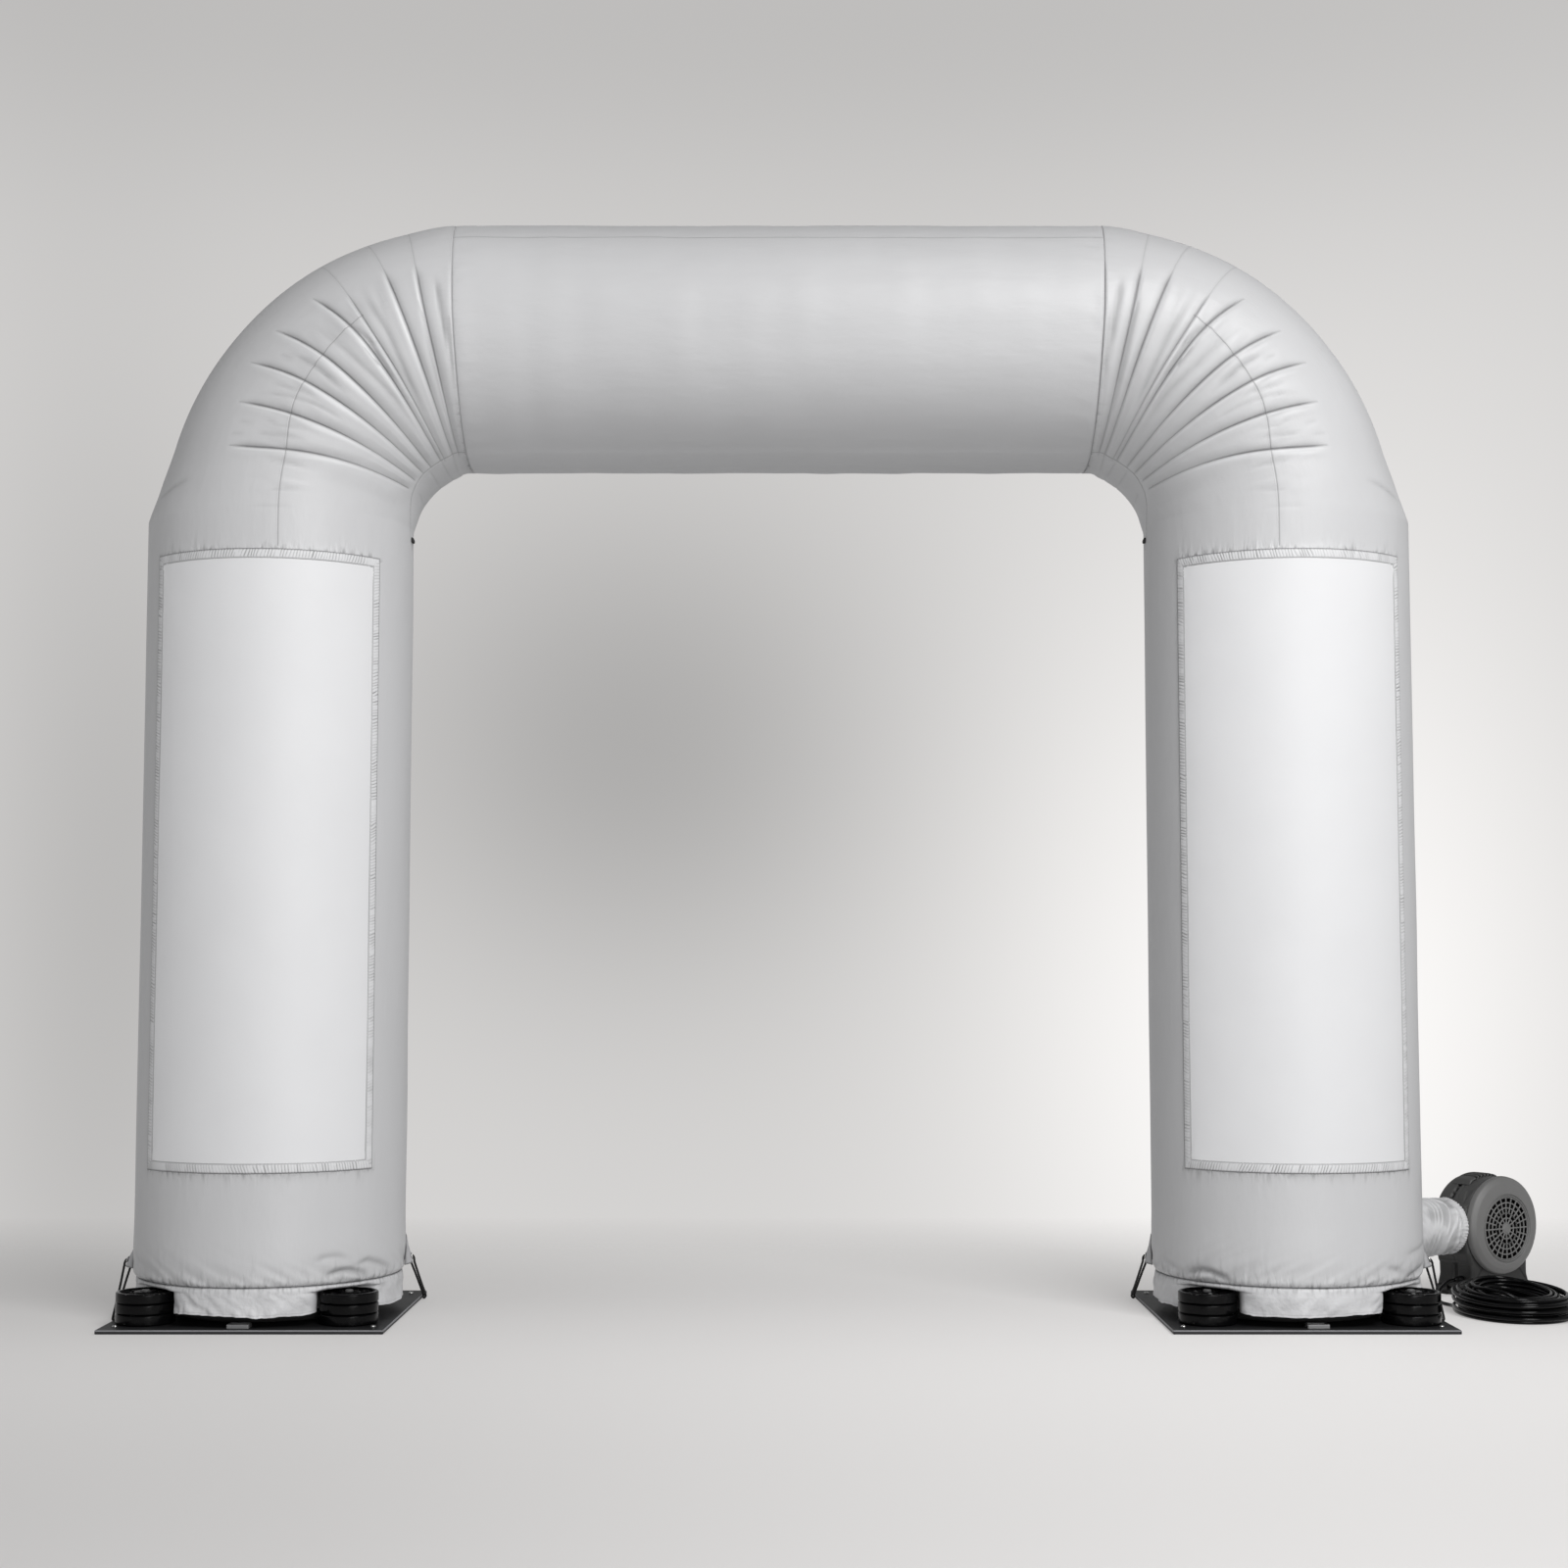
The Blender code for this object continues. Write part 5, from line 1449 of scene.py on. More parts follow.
def blower_frame():
    """The blower's own frame: X away from the leg, Y back from its face, on the floor."""
    turn = math.radians(BLOWER_TURN)
    along = Vector((math.cos(turn), math.sin(turn), 0.0))
    back = Vector((-math.sin(turn), math.cos(turn), 0.0))
    place = Vector(arch_point(LEG_OFFSET, 0.0, 0.0)) + along * BLOWER_REACH - back * OUTLET_BACK
    return Matrix.Translation(place) @ Matrix.Rotation(turn, 4, "Z")


def along_y(x, y, z):
    """A place in the blower's frame for a piece that was turned round its back-to-front axis."""
    return (blower_frame() @ Matrix.Translation((x, y, z))
            @ Matrix.Rotation(-math.pi / 2, 4, "X"))


def along_x(x, y, z, direction=1.0):
    """The same for a piece turned round the axis away from the leg."""
    return (blower_frame() @ Matrix.Translation((x, y, z))
            @ Matrix.Rotation(direction * math.pi / 2, 4, "Y"))


def make_sleeve(finish):
    """The sleeve: full of air, drawn in by its channel, with a ruffled end."""
    columns = 256
    turn = (np.arange(columns) * math.tau / columns)[None, :]
    edge = np.concatenate([np.linspace(SLEEVE_START, 0.66, 92)[:-1],
                           np.linspace(0.66, SLEEVE_END, 34)])

    def to_wall(radius):
        """From the leg's axis to its wall, for a line at this radius in the sleeve."""
        return np.sqrt((LEG_RADIUS + SLEEVE_CLEAR) ** 2 - (radius * np.cos(turn)) ** 2)

    def sleeve_points(distance, radius):
        return (centre + distance[..., None] * along + (radius * np.cos(turn))[..., None] * across
                + (radius * np.sin(turn))[..., None] * level)

    wall = to_wall(SLEEVE_LINE[0, 1])
    share = ((edge - SLEEVE_START) / (SLEEVE_END - SLEEVE_START))[:, None]
    distance = wall + (SLEEVE_END - wall) * share
    radius = read(SLEEVE_LINE, distance)
    table = noise_table(111)
    x = turn * SLEEVE_RADIUS
    end = SLEEVE_CHANNEL - distance
    start = distance - wall
    ends = np.minimum(np.abs(end) + 0.0 * start, 1.0)
    gather = smooth_noise(table, x / 0.0085 + 20.0 * distance, distance / 0.05)
    relief = 0.0028 * gather * np.exp(-ends / 0.020) * ease(0.0, 0.006, end)
    bow = distance + 0.020 * np.sin(turn * 2.0 + 0.6)
    ridges = ridged(table, bow / 0.017 + 31.0, x / 0.110) - 0.35
    relief += 0.0046 * ridges * ease(0.48, 0.62, distance) * ease(0.0, 0.020, end)
    slanted = distance - 0.8 * x
    ridges = ridged(table, slanted / 0.024, (distance + x) / 0.12 + 5.0) - 0.35
    relief += 0.0046 * ridges * np.exp(-start / 0.075) * ease(0.0, 0.010, start)
    relief += 0.0014 * smooth_noise(table, x / 0.045 + 50.0, distance / 0.06)
    # painted shade in the troughs, and painted light over the whole sleeve where the value is below
    # 0
    crease = np.clip(-relief / 0.0026, 0.0, 1.0) * ease(-0.002, 0.008, end) - 0.22
    ruffle = ease(0.681, 0.690, distance)
    relief += ruffle * (0.0013 * np.sin(turn * 58.0 + 2.0 * np.sin(turn * 7.0))
                        + 0.0009 * smooth_noise(table, x / 0.006, 41.5))
    relief *= ease(0.0, 0.004, start)
    along, across = (np.array(blower_frame().to_3x3().col[n]) for n in (0, 1))
    level = np.array((0.0, 0.0, 1.0))
    centre = np.array(arch_point(LEG_OFFSET, 0.0, 0.0)) + level * FAN_Z
    inner_radius = SLEEVE_LINE[0, 1] * np.array((0.30, 0.65, 0.96))[:, None] + 0 * turn
    inner_reach = to_wall(inner_radius)
    points = np.concatenate([sleeve_points(inner_reach, inner_radius),
                             sleeve_points(distance, radius + relief)])
    reach = np.concatenate([inner_reach, distance])
    seam = (turn - math.radians(SLEEVE_SEAM)) * SLEEVE_RADIUS + 0 * reach
    pucker = (0.9 * np.exp(-np.abs(reach - SLEEVE_CHANNEL) / 0.012)
              + 0.45 * np.exp(-np.abs(reach - SLEEVE_START) / 0.05))
    made = grid_piece("sleeve_cloth", points, wrap=True, caps=True, closed=True,
                      uv=(x + 0 * reach, reach + 0 * x, math.tau * SLEEVE_RADIUS),
                      ring_seam=reach - SLEEVE_CHANNEL - 0.0002, front_seam=seam,
                      strip_edge=np.ones(reach.shape), pucker=pucker,
                      crease=np.concatenate([0.0 * inner_reach, crease]))
    finish_piece(made, finish, "tube_cloth", "blower_sleeve")
    return made


def snail_outline():
    """The housing's outline seen from its face: round over the fan, flat at the outlet."""
    radius, foot, low = HOUSING_RADIUS, HOUSING_FOOT, HOUSING_LOW
    points = []
    for step in range(60):
        angle = math.radians(-33.0 + 185.0 * step / 59)
        points.append((radius * math.cos(angle), FAN_Z + radius * math.sin(angle)))
    flat = [(-radius, FAN_Z + 0.066), (-radius, FAN_Z), (-radius, FAN_Z - 0.050),
            (-radius * 0.97, FAN_Z - 0.085), (-foot * 0.985, FAN_Z - 0.120),
            (-foot * 0.975, FAN_Z - 0.150), (-foot, low)]
    right = [(foot, low), (foot * 0.975, FAN_Z - 0.150), (foot * 0.985, FAN_Z - 0.110)]
    return np.array(points + flat + right)


def even_outline(outline, count):
    """The same closed outline in steps of one length."""
    closed = np.concatenate([outline, outline[:1]])
    chord = lengths_along(closed)
    at = np.linspace(0.0, chord[-1], count, endpoint=False)
    return np.stack([np.interp(at, chord, closed[:, n]) for n in (0, 1)], -1)


def slab_piece(name, outline, levels, place, relief=None, marks=None):
    """A moulded body: its outline drawn in by an inset at each depth, closed at both ends."""
    ahead = np.roll(outline, -1, 0) - np.roll(outline, 1, 0)
    for _ in range(3):
        ahead = (np.roll(ahead, 1, 0) + 2 * ahead + np.roll(ahead, -1, 0)) / 4
    ahead /= np.linalg.norm(ahead, axis=1)[:, None]
    out = np.stack([ahead[:, 1], -ahead[:, 0]], -1)
    if np.mean((outline - outline.mean(0)) * out) < 0:
        out = -out
    rings, shades = [], []
    for inset, back in levels:
        shades.append(marks(outline, back) if marks else np.zeros(len(outline)))
        line = outline - out * inset
        if relief is not None:
            line = line + out * relief(line, back)[:, None]
        rings.append(np.stack([line[:, 0], np.full(len(line), back), line[:, 1]], -1))
    middle = outline.mean(0)
    for which in (0, -1):
        face = rings[which]
        for share in (0.75, 0.45, 0.15):
            drawn = face.copy()
            drawn[:, 0] = middle[0] + (face[:, 0] - middle[0]) * share
            drawn[:, 2] = middle[1] + (face[:, 2] - middle[1]) * share
            if which == 0:
                rings.insert(0, drawn)
            else:
                rings.append(drawn)
    shades = [0 * shades[0]] * 3 + shades + [0 * shades[0]] * 3
    made = grid_piece(name, np.array(rings), wrap=True, caps=True, closed=True,
                      vent=np.array(shades))
    made.data.transform(place)
    return made


def shoulder(front, back, radius, steps=7):
    """Insets and depths of a body with rounded front and back edges."""
    levels = []
    for step in range(steps + 1):
        angle = math.radians(90.0 * step / steps)
        levels.append((radius * (1 - math.sin(angle)), front + radius * (1 - math.cos(angle))))
    middle = [(0.0, level) for level in np.arange(front + radius + 0.003, back - radius, 0.003)]
    return levels + middle + [(inset, back + front - level) for inset, level in levels[::-1]]


def make_housing(finish):
    """The snail housing, with a joint line round it, a slot and pockets in its side."""
    outline = even_outline(snail_outline(), 340)

    def openings(line, back):
        """The curved slot with its bridges, and the upright recess low on the side."""
        x, z = line[:, 0], line[:, 1]
        turn = np.degrees(np.arctan2(z - FAN_Z, x))
        slot = ease(0.0085, 0.0065, np.abs(back - 0.112) + 0 * turn)
        slot = slot * ease(112.0, 114.0, turn) * ease(160.0, 158.0, turn)
        bridge = ease(1.1, 0.7, np.abs((turn - 114.0) % 9.0 - 4.5))
        recess = (x < -0.05) * ease(0.0100, 0.0080, np.abs(back - 0.098) + 0 * x)
        recess = recess * ease(0.044, 0.046, z) * ease(0.100, 0.098, z)
        return np.maximum(slot * (1.0 - bridge), recess)

    def relief(line, back):
        x, z = line[:, 0], line[:, 1]
        turn = np.degrees(np.arctan2(z - FAN_Z, x))
        lift = -0.0022 * np.exp(-((back - 0.0905) / 0.0022) ** 2) - 0.0070 * openings(line, back)
        wide = 0.015 * np.clip((156.0 - turn) / 26.0, 0.0, 1.0)
        inside = np.minimum(wide - np.abs(back - 0.057), 0.0026 * (turn - 131.0))
        lift = lift - 0.0030 * ease(0.0, 0.0030, inside) + 0.0012 * np.exp(-(inside / 0.0016) ** 2)
        lift += 0.0016 * (x < -0.05) * ease(0.103, 0.106, z) * ease(0.113, 0.110, z)
        return lift + 0.006 * ease(0.062, 0.031, z)

    # the slot and recess are shallow dips, painted near black as shade by the finish
    made = slab_piece("blower_body", outline, shoulder(HOUSING_FRONT, HOUSING_BACK, 0.014),
                      blower_frame(), relief, openings)
    return finish_piece(made, finish, "blower_plastic", "blower_housing")


def make_base(finish):
    """The foot plate of the blower: a rounded slab with flared ends."""
    corners = ((-0.136, 0.152, 0.0), (-0.136, 0.0, 0.020), (0.136, 0.0, 0.020),
               (0.136, 0.152, 0.020), (-0.136, 0.152, 0.020), (-0.136, 0.10, 0.0))
    outline = even_outline(np.array(rounded(corners, 6)), 160)
    levels = [(0.004, 0.0005), (0.0010, 0.0022), (0.0, 0.0050), (0.0, 0.0120), (0.0020, 0.0180),
              (0.0050, 0.0240), (0.0080, 0.0295)]
    made = slab_piece("blower_foot", outline, levels, Matrix.Identity(4))
    made.data.transform(blower_frame() @ Matrix.Translation((0.0, 0.024, 0.0))
                        @ Matrix(((1, 0, 0, 0), (0, 0, 1, 0), (0, 1, 0, 0), (0, 0, 0, 1))))
    return finish_piece(settle(made), finish, "blower_plastic", "blower_base")


def make_hump(finish):
    """The low hump over the housing, with a row of vents painted black as shade."""
    angles = np.radians(np.linspace(HUMP_FROM, HUMP_TO, 96))[None, :]
    across = np.concatenate([np.linspace(-0.035, -0.031, 5), np.linspace(-0.029, 0.029, 24),
                             np.linspace(0.031, 0.035, 5)])[:, None]
    turn = np.degrees(angles)
    rise = 0.0078 * ease(HUMP_FROM, 74.0, turn) * ease(HUMP_TO, 116.0, turn)
    rise = rise * np.sqrt(np.maximum(1.0 - (np.abs(across) / 0.0352) ** 8, 0.0))
    # painted shade: the vents are coloured near black
    vent = np.zeros(np.broadcast(angles, across).shape)
    for middle in np.arange(79.0, 109.0, 5.6):
        vent = np.maximum(vent, ease(2.0, 1.5, np.abs(turn - middle))
                          * ease(0.0240, 0.0225, across))

    def bent(radius):
        return np.stack([radius * np.cos(angles) + 0 * across, HUMP_BACK + across + 0 * angles,
                         FAN_Z + radius * np.sin(angles) + 0 * across], -1)

    top = bent(HOUSING_RADIUS + 0.0016 + rise - 0.0062 * vent)
    rows = np.concatenate([top, bent(HUMP_RADIUS)[::-1]])
    made = grid_piece("blower_top_hump", rows.transpose(1, 0, 2), wrap=True, caps=True, closed=True,
                      vent=np.concatenate([vent, 0 * vent]).T)
    made.data.transform(blower_frame())
    return finish_piece(made, finish, "blower_plastic", "blower_hump")


def make_face(finish):
    """The face: a broad flat ring with a rounded shoulder and a lip round the grille."""
    made = turned_piece("blower_front_ring", rounded(FACE_CORNERS, 5), 120, Matrix.Identity(4))
    for vert in made.data.vertices:
        vert.co.y += GRILLE_DROP * float(ease(0.136, 0.110, math.hypot(vert.co.x, vert.co.y)))
    made.data.transform(along_y(0, 0, FAN_Z))
    return finish_piece(made, finish, "blower_plastic", "blower_face")


def grille_tree(finish):
    """Rings at even radii and spokes between them, as round wires: Geometry Nodes."""
    tree, given, add = node_group("blower_grille", (
        ("Rings", "Int"), ("Inner Radius", "Float"), ("Ring Pitch", "Float"), ("Spokes", "Int"),
        ("Wire Radius", "Float")))

    def maths(operation, one, two):
        return add("ShaderNodeMath", (one, two), operation=operation)[0]

    start = add("NodeGroupInput")
    inner, pitch = start["Inner Radius"], start["Ring Pitch"]
    number = add("GeometryNodeInputIndex")[0]
    nowhere = (0.0, 0.0, 0.0)
    rows = add("GeometryNodeMeshLine", {"Count": start["Rings"], "Offset": nowhere})
    circle = add("GeometryNodeCurvePrimitiveCircle", {"Resolution": 72, "Radius": 1.0})
    reach = maths("ADD", inner, maths("MULTIPLY", number, pitch))
    rings = add("GeometryNodeInstanceOnPoints", {
        "Points": rows["Mesh"], "Instance": circle["Curve"], "Scale": reach})

    outer = maths("ADD", inner, maths("MULTIPLY", pitch, maths("SUBTRACT", start["Rings"], 1.0)))
    spoke = add("GeometryNodeCurvePrimitiveLine", {
        key: add("ShaderNodeCombineXYZ", {"X": reach})[0]
        for key, reach in (("Start", inner), ("End", outer))})
    fan = add("GeometryNodeMeshLine", {"Count": start["Spokes"], "Offset": nowhere})
    turn = maths("MULTIPLY", number, maths("DIVIDE", math.tau, start["Spokes"]))
    spin = add("FunctionNodeEulerToRotation", {
        "Euler": add("ShaderNodeCombineXYZ", {"Z": turn})[0]})
    spokes = add("GeometryNodeInstanceOnPoints", {
        "Points": fan["Mesh"], "Instance": spoke["Curve"], "Rotation": spin[0]})

    both = add("GeometryNodeJoinGeometry", (rings[0],))[0]
    tree.links.new(spokes[0], both.node.inputs[0])
    real = add("GeometryNodeRealizeInstances", (both,))
    section = add("GeometryNodeCurvePrimitiveCircle", {
        "Resolution": 8, "Radius": start["Wire Radius"]})
    wires = add("GeometryNodeCurveToMesh", {
        "Curve": real[0], "Profile Curve": section["Curve"], "Fill Caps": True})
    painted = add("GeometryNodeSetMaterial", {
        "Geometry": wires[0], "Material": finish.material})
    add("NodeGroupOutput", (painted[0],))
    return tree, given


def make_grille(finish, dark):
    """The grille's rings and spokes round a boss, and the fan chamber behind them, painted
    dark as shade.
    """
    tree, given = grille_tree(finish)
    parts = []
    for rings, inner, pitch, spokes in ((3, 0.0170, 0.0155, 12), (4, 0.0480, 0.0165, 24)):
        part = add_object("wires", bpy.data.meshes.new("wires"))
        modifier = part.modifiers.new("wires", "NODES")
        modifier.node_group = tree
        for key, value in (("Rings", rings), ("Inner Radius", inner), ("Ring Pitch", pitch),
                           ("Spokes", spokes), ("Wire Radius", 0.0025)):
            modifier[given[key].identifier] = value
        parts.append(settle(part))
    boss = turned_piece("boss", rounded(((0.0, -0.0040, 0.0), (0.0100, -0.0040, 0.003),
                                         (0.0165, -0.0010, 0.003), (0.0165, 0.0020, 0.0),
                                         (0.0, 0.0020, 0.0)), 4), 32, Matrix.Identity(4))
    made = join("blower_guard", parts + [boss])
    made.data.transform(along_y(0.0, 0.0012, FAN_Z - GRILLE_DROP))
    finish_piece(made, finish, "blower_plastic", "blower_grille")
    bowl = turned_piece("blower_fan_chamber", rounded(
        ((0.0, 0.0230, 0.0), (0.040, 0.0230, 0.004), (0.046, 0.0120, 0.004),
         (0.070, 0.0200, 0.01), (0.0985, 0.0180, 0.002), (0.0990, 0.0080, 0.0),
         (0.0997, 0.0080, 0.0), (0.0997, 0.0285, 0.0), (0.0, 0.0285, 0.0)), 4), 96,
        along_y(0.0, 0.0, FAN_Z - GRILLE_DROP))
    return finish_piece(bowl, dark, "blower_plastic")


def make_motor(finish):
    """The motor's can on the back, with cooling grooves and a domed end."""
    start = HOUSING_BACK + CLEAR
    corners = [(0.0, start, 0.0), (0.0860, start, 0.0)]
    for z in np.arange(0.1760, 0.2020, 0.0052):
        corners += [(0.0860, z, 0.0), (0.0835, z + 0.0008, 0.0), (0.0835, z + 0.0020, 0.0),
                    (0.0860, z + 0.0028, 0.0)]
    corners += [(0.0860, 0.2080, 0.006), (0.0740, 0.2200, 0.008), (0.0, 0.2230, 0.0)]
    made = turned_piece("blower_motor_can", rounded(corners, 5), 96, along_y(0, 0, FAN_Z))
    return finish_piece(made, finish, "blower_plastic", "blower_motor")


def make_collar(finish):
    """The outlet's collar between the sleeve and the housing."""
    start, end = SLEEVE_END + CLEAR - BLOWER_REACH, -HOUSING_RADIUS - CLEAR
    corners = ((0.0, start, 0.0), (0.0655, start, 0.0006), (0.0660, start + 0.0015, 0.0006),
               (0.0645, start + 0.0045, 0.001), (0.0660, start + 0.0070, 0.001), (0.0660, end, 0.0),
               (0.0, end, 0.0))
    made = turned_piece("blower_outlet", rounded(corners, 3), 96,
                        along_x(0.0, OUTLET_BACK, FAN_Z))
    return finish_piece(made, finish, "blower_plastic", "blower_collar")


def make_gland(finish):
    """The tapered strain relief, with ribs that let it bend."""
    corners = [(0.0, 0.0, 0.0), (0.0120, 0.0, 0.0), (0.0120, 0.0085, 0.001)]
    for n in range(6):
        z = 0.0105 + 0.0034 * n
        radius = 0.0112 - 0.0006 * n
        corners += [(radius, z, 0.0004), (radius, z + 0.0018, 0.0004),
                    (radius - 0.0018, z + 0.0024, 0.0), (radius - 0.0018, z + 0.0030, 0.0)]
    corners += [(0.0075, 0.0315, 0.0), (0.0, 0.0320, 0.0)]
    made = turned_piece("cable_gland", rounded(corners, 3), 40, along_x(*GLAND_PLACE, -1.0))
    return finish_piece(made, finish, "cord_rubber", "blower_gland")


def make_plug(finish):
    """The cable's plug: a ribbed grip that narrows to its strain relief."""
    corners = [(0.0, 0.0, 0.0), (0.0185, 0.0, 0.0012), (0.0192, 0.0040, 0.0008)]
    for n in range(5):
        z = 0.0065 + 0.0045 * n
        corners += [(0.0196, z, 0.0006), (0.0196, z + 0.0022, 0.0006), (0.0184, z + 0.0030, 0.0),
                    (0.0184, z + 0.0038, 0.0)]
    corners += [(0.0165, 0.0360, 0.004), (0.0092, 0.0450, 0.004), (0.0060, 0.0715, 0.0),
                (0.0, 0.0720, 0.0)]
    place = (Matrix.Translation(arch_point(COIL_MIDDLE[0] + PLUG_FRONT[0],
                                           COIL_MIDDLE[1] + PLUG_FRONT[1], PLUG_FRONT[2]))
             @ Matrix.Rotation(math.radians(PLUG_TURN), 4, "Z")
             @ Matrix.Rotation(math.pi / 2, 4, "Y"))
    made = turned_piece("cable_plug", rounded(corners, 3), 40, place)
    return finish_piece(made, finish, "cord_rubber", "cord_plug")


def make_blower(finishes):
    """The sleeve from the right leg and the blower at its end."""
    make_sleeve(finishes["tube"])
    make_base(finishes["housing"])
    make_housing(finishes["housing"])
    make_hump(finishes["housing"])
    make_face(finishes["plastic"])
    make_grille(finishes["plastic"], finishes["dark"])
    make_motor(finishes["plastic"])
    make_collar(finishes["plastic"])
    make_gland(finishes["rubber"])


# ------------------------------------------------------------------ cord
CORD_DIAMETER, CORD_STEP = 0.011, 0.012
COIL_MIDDLE = (2.2076, -0.020)          # from the arch's middle
COIL_STRETCH = 1.30                     # the coil is longer from front to back
LEAD_ROUTE = (
    # x, y, z from the arch's middle
    (2.1337, 0.3415, 0.0530), (2.1170, 0.3311, 0.0515), (2.0980, 0.3190, 0.0440),
    (2.0800, 0.3055, 0.0310), (2.0650, 0.2890, 0.0175), (2.0550, 0.2680, 0.0085),
    (2.0495, 0.2430, 0.0062), (2.0475, 0.2150, 0.0062), (2.0470, 0.1860, 0.0062),
    (2.0490, 0.1600, 0.0062), (2.0560, 0.1390, 0.0062), (2.0606, 0.1200, 0.0062),
    (2.0608, 0.1000, 0.0060),
)
COIL_LAYERS = (
    # height, radius of the outer turn and of the inner turn, turns
    (0.0060, 0.1690, 0.0900, 6), (0.0165, 0.1730, 0.0905, 5), (0.0270, 0.1640, 0.0910, 5),
    (0.0375, 0.1710, 0.0915, 5), (0.0480, 0.1620, 0.0925, 4), (0.0585, 0.1690, 0.0950, 4),
    (0.0690, 0.1600, 0.1040, 3), (0.0780, 0.1180, 0.1180, 1),
)
STRAY_TURNS = (9.6, 11.4)               # turns that stand out at the coil's outer end
COIL_POINTS = 44                        # of each turn
COIL_START = 156.0                      # where the lead joins it, in degrees
CORD_BEND = 0.047
PLUG_FRONT = (-0.040, 0.046, 0.0206)    # from the coil's middle
PLUG_TURN = -8.0
PLUG_LENGTH = 0.072
SLUMP = (
    # the last turn drops into the coil: degrees round it, radius, height
    (25.0, 0.1085, 0.0805), (55.0, 0.0975, 0.0805), (80.0, 0.0870, 0.0725),
    (105.0, 0.0800, 0.0540), (130.0, 0.0790, 0.0340), (152.0, 0.0785, 0.0180),
    (174.0, 0.0765, 0.0085),
)


def arch_point(x, y, z):
    """A place given from the arch's middle, in the frame."""
    return (ARCH_X + x, ARCH_Y + y, z)


def coil_place(radius, turn, height):
    """A point of the coil, its angle in degrees from +X."""
    angle = math.radians(turn)
    return arch_point(COIL_MIDDLE[0] + radius * math.cos(angle),
                      COIL_MIDDLE[1] + COIL_STRETCH * radius * math.sin(angle), height)


def cord_levels():
    """Radius and height of each turn, wound inwards and outwards by turns."""
    levels = []
    for n, (height, outer, inner, turns) in enumerate(COIL_LAYERS):
        ring = [(radius, height) for radius in np.linspace(outer, inner, turns)]
        levels += ring if n % 2 == 0 else ring[::-1]
    return levels


def cord_route():
    """The lead, layer on layer of loose turns, and the last turn's drop to the plug."""
    route = [arch_point(*point) for point in LEAD_ROUTE]
    levels = cord_levels()
    own, lift = noise_table(72), noise_table(73)
    for step in range((len(levels) - 1) * COIL_POINTS + 1):
        at = step / COIL_POINTS
        n = min(int(at), len(levels) - 2)
        share = at - n
        if levels[n][1] != levels[n + 1][1]:
            share = float(ease(0.60, 1.0, share))
        radius = levels[n][0] + (levels[n + 1][0] - levels[n][0]) * share
        height = levels[n][1] + (levels[n + 1][1] - levels[n][1]) * share
        turn = COIL_START + ALL_ROUND * at
        angle = math.radians(turn)
        loose = min(at, 1.0) * (0.40 + 0.60 * height / 0.080)
        radius += 0.0016 * math.sin(2 * angle + 1.0) + 0.0012 * math.sin(3 * angle + 2.2) - 0.0020
        radius += 0.0080 * loose * float(smooth_noise(own, turn / 110.0, 3.5))
        height += 0.0062 * loose * float(smooth_noise(lift, turn / 80.0, 8.5))
        height += (height - 0.006) * (0.16 + 0.06 * math.sin(angle)) * math.sin(angle)
        if STRAY_TURNS[0] < at < STRAY_TURNS[1]:
            radius += 0.026 * math.exp(-(((turn + 180.0) % 360.0 - 180.0 + 14.0) / 30.0) ** 2)
        route.append(coil_place(radius, turn, max(height, 0.0058)))
    route += [coil_place(radius, turn + more, height) for more, radius, height in SLUMP]
    front = Vector(arch_point(COIL_MIDDLE[0] + PLUG_FRONT[0], COIL_MIDDLE[1] + PLUG_FRONT[1],
                              PLUG_FRONT[2]))
    back = Matrix.Rotation(math.radians(PLUG_TURN), 3, "Z") @ Vector((1.0, 0.0, 0.0))
    beside = Vector((-back.y, back.x, 0.0))
    rear = front + back * PLUG_LENGTH
    centre = rear - beside * CORD_BEND
    for step in range(5):
        angle = math.radians(80.0 - 20.0 * step)
        point = centre + CORD_BEND * (beside * math.cos(angle) + back * math.sin(angle))
        point.z = rear.z - 0.0131 * float(ease(0.0, 1.4, angle))
        route.append(tuple(point))
    return [Vector(point) for point in route]


def smooth_line(points, spacing, closed=False):
    """A finer line through the points, as a Catmull-Rom curve."""
    points = np.array([tuple(p) for p in points])
    if closed:
        padded = np.concatenate([points[-1:], points, points[:2]])
    else:
        padded = np.concatenate([2 * points[:1] - points[1:2], points,
                                 2 * points[-1:] - points[-2:-1]])
    made = []
    for a, b, c, d in zip(padded, padded[1:], padded[2:], padded[3:]):
        count = max(1, int(round(np.linalg.norm(c - b) / spacing)))
        for t in np.arange(count) / count:
            made.append(0.5 * (2 * b + (c - a) * t + (2 * a - 5 * b + 4 * c - d) * t * t
                               + (3 * b - a - 3 * c + d) * t ** 3))
    if not closed:
        made.append(points[-1])
    return np.array(made)


def tube_frames(line, closed=False):
    """Directions across a line, carried along it without twist."""
    ahead = (np.roll(line, -1, 0) - np.roll(line, 1, 0)) if closed else np.gradient(line, axis=0)
    ahead /= np.linalg.norm(ahead, axis=1)[:, None]
    side = np.cross(ahead[0], (0.0, 0.0, 1.0))
    if np.linalg.norm(side) < 0.1:
        side = np.cross(ahead[0], (0.0, 1.0, 0.0))
    sides = []
    for direction in ahead:
        side = side - direction * np.dot(side, direction)
        side = side / np.linalg.norm(side)
        sides.append(side)
    sides = np.array(sides)
    if closed:
        last = sides[-1] - ahead[0] * np.dot(sides[-1], ahead[0])
        other = np.cross(ahead[0], sides[0])
        gap = math.atan2(np.dot(last, other), np.dot(last, sides[0]))
        turn = -gap * np.linspace(0.0, 1.0, len(line))[:, None]
        sides = sides * np.cos(turn) + np.cross(ahead, sides) * np.sin(turn)
    return sides, np.cross(ahead, sides)


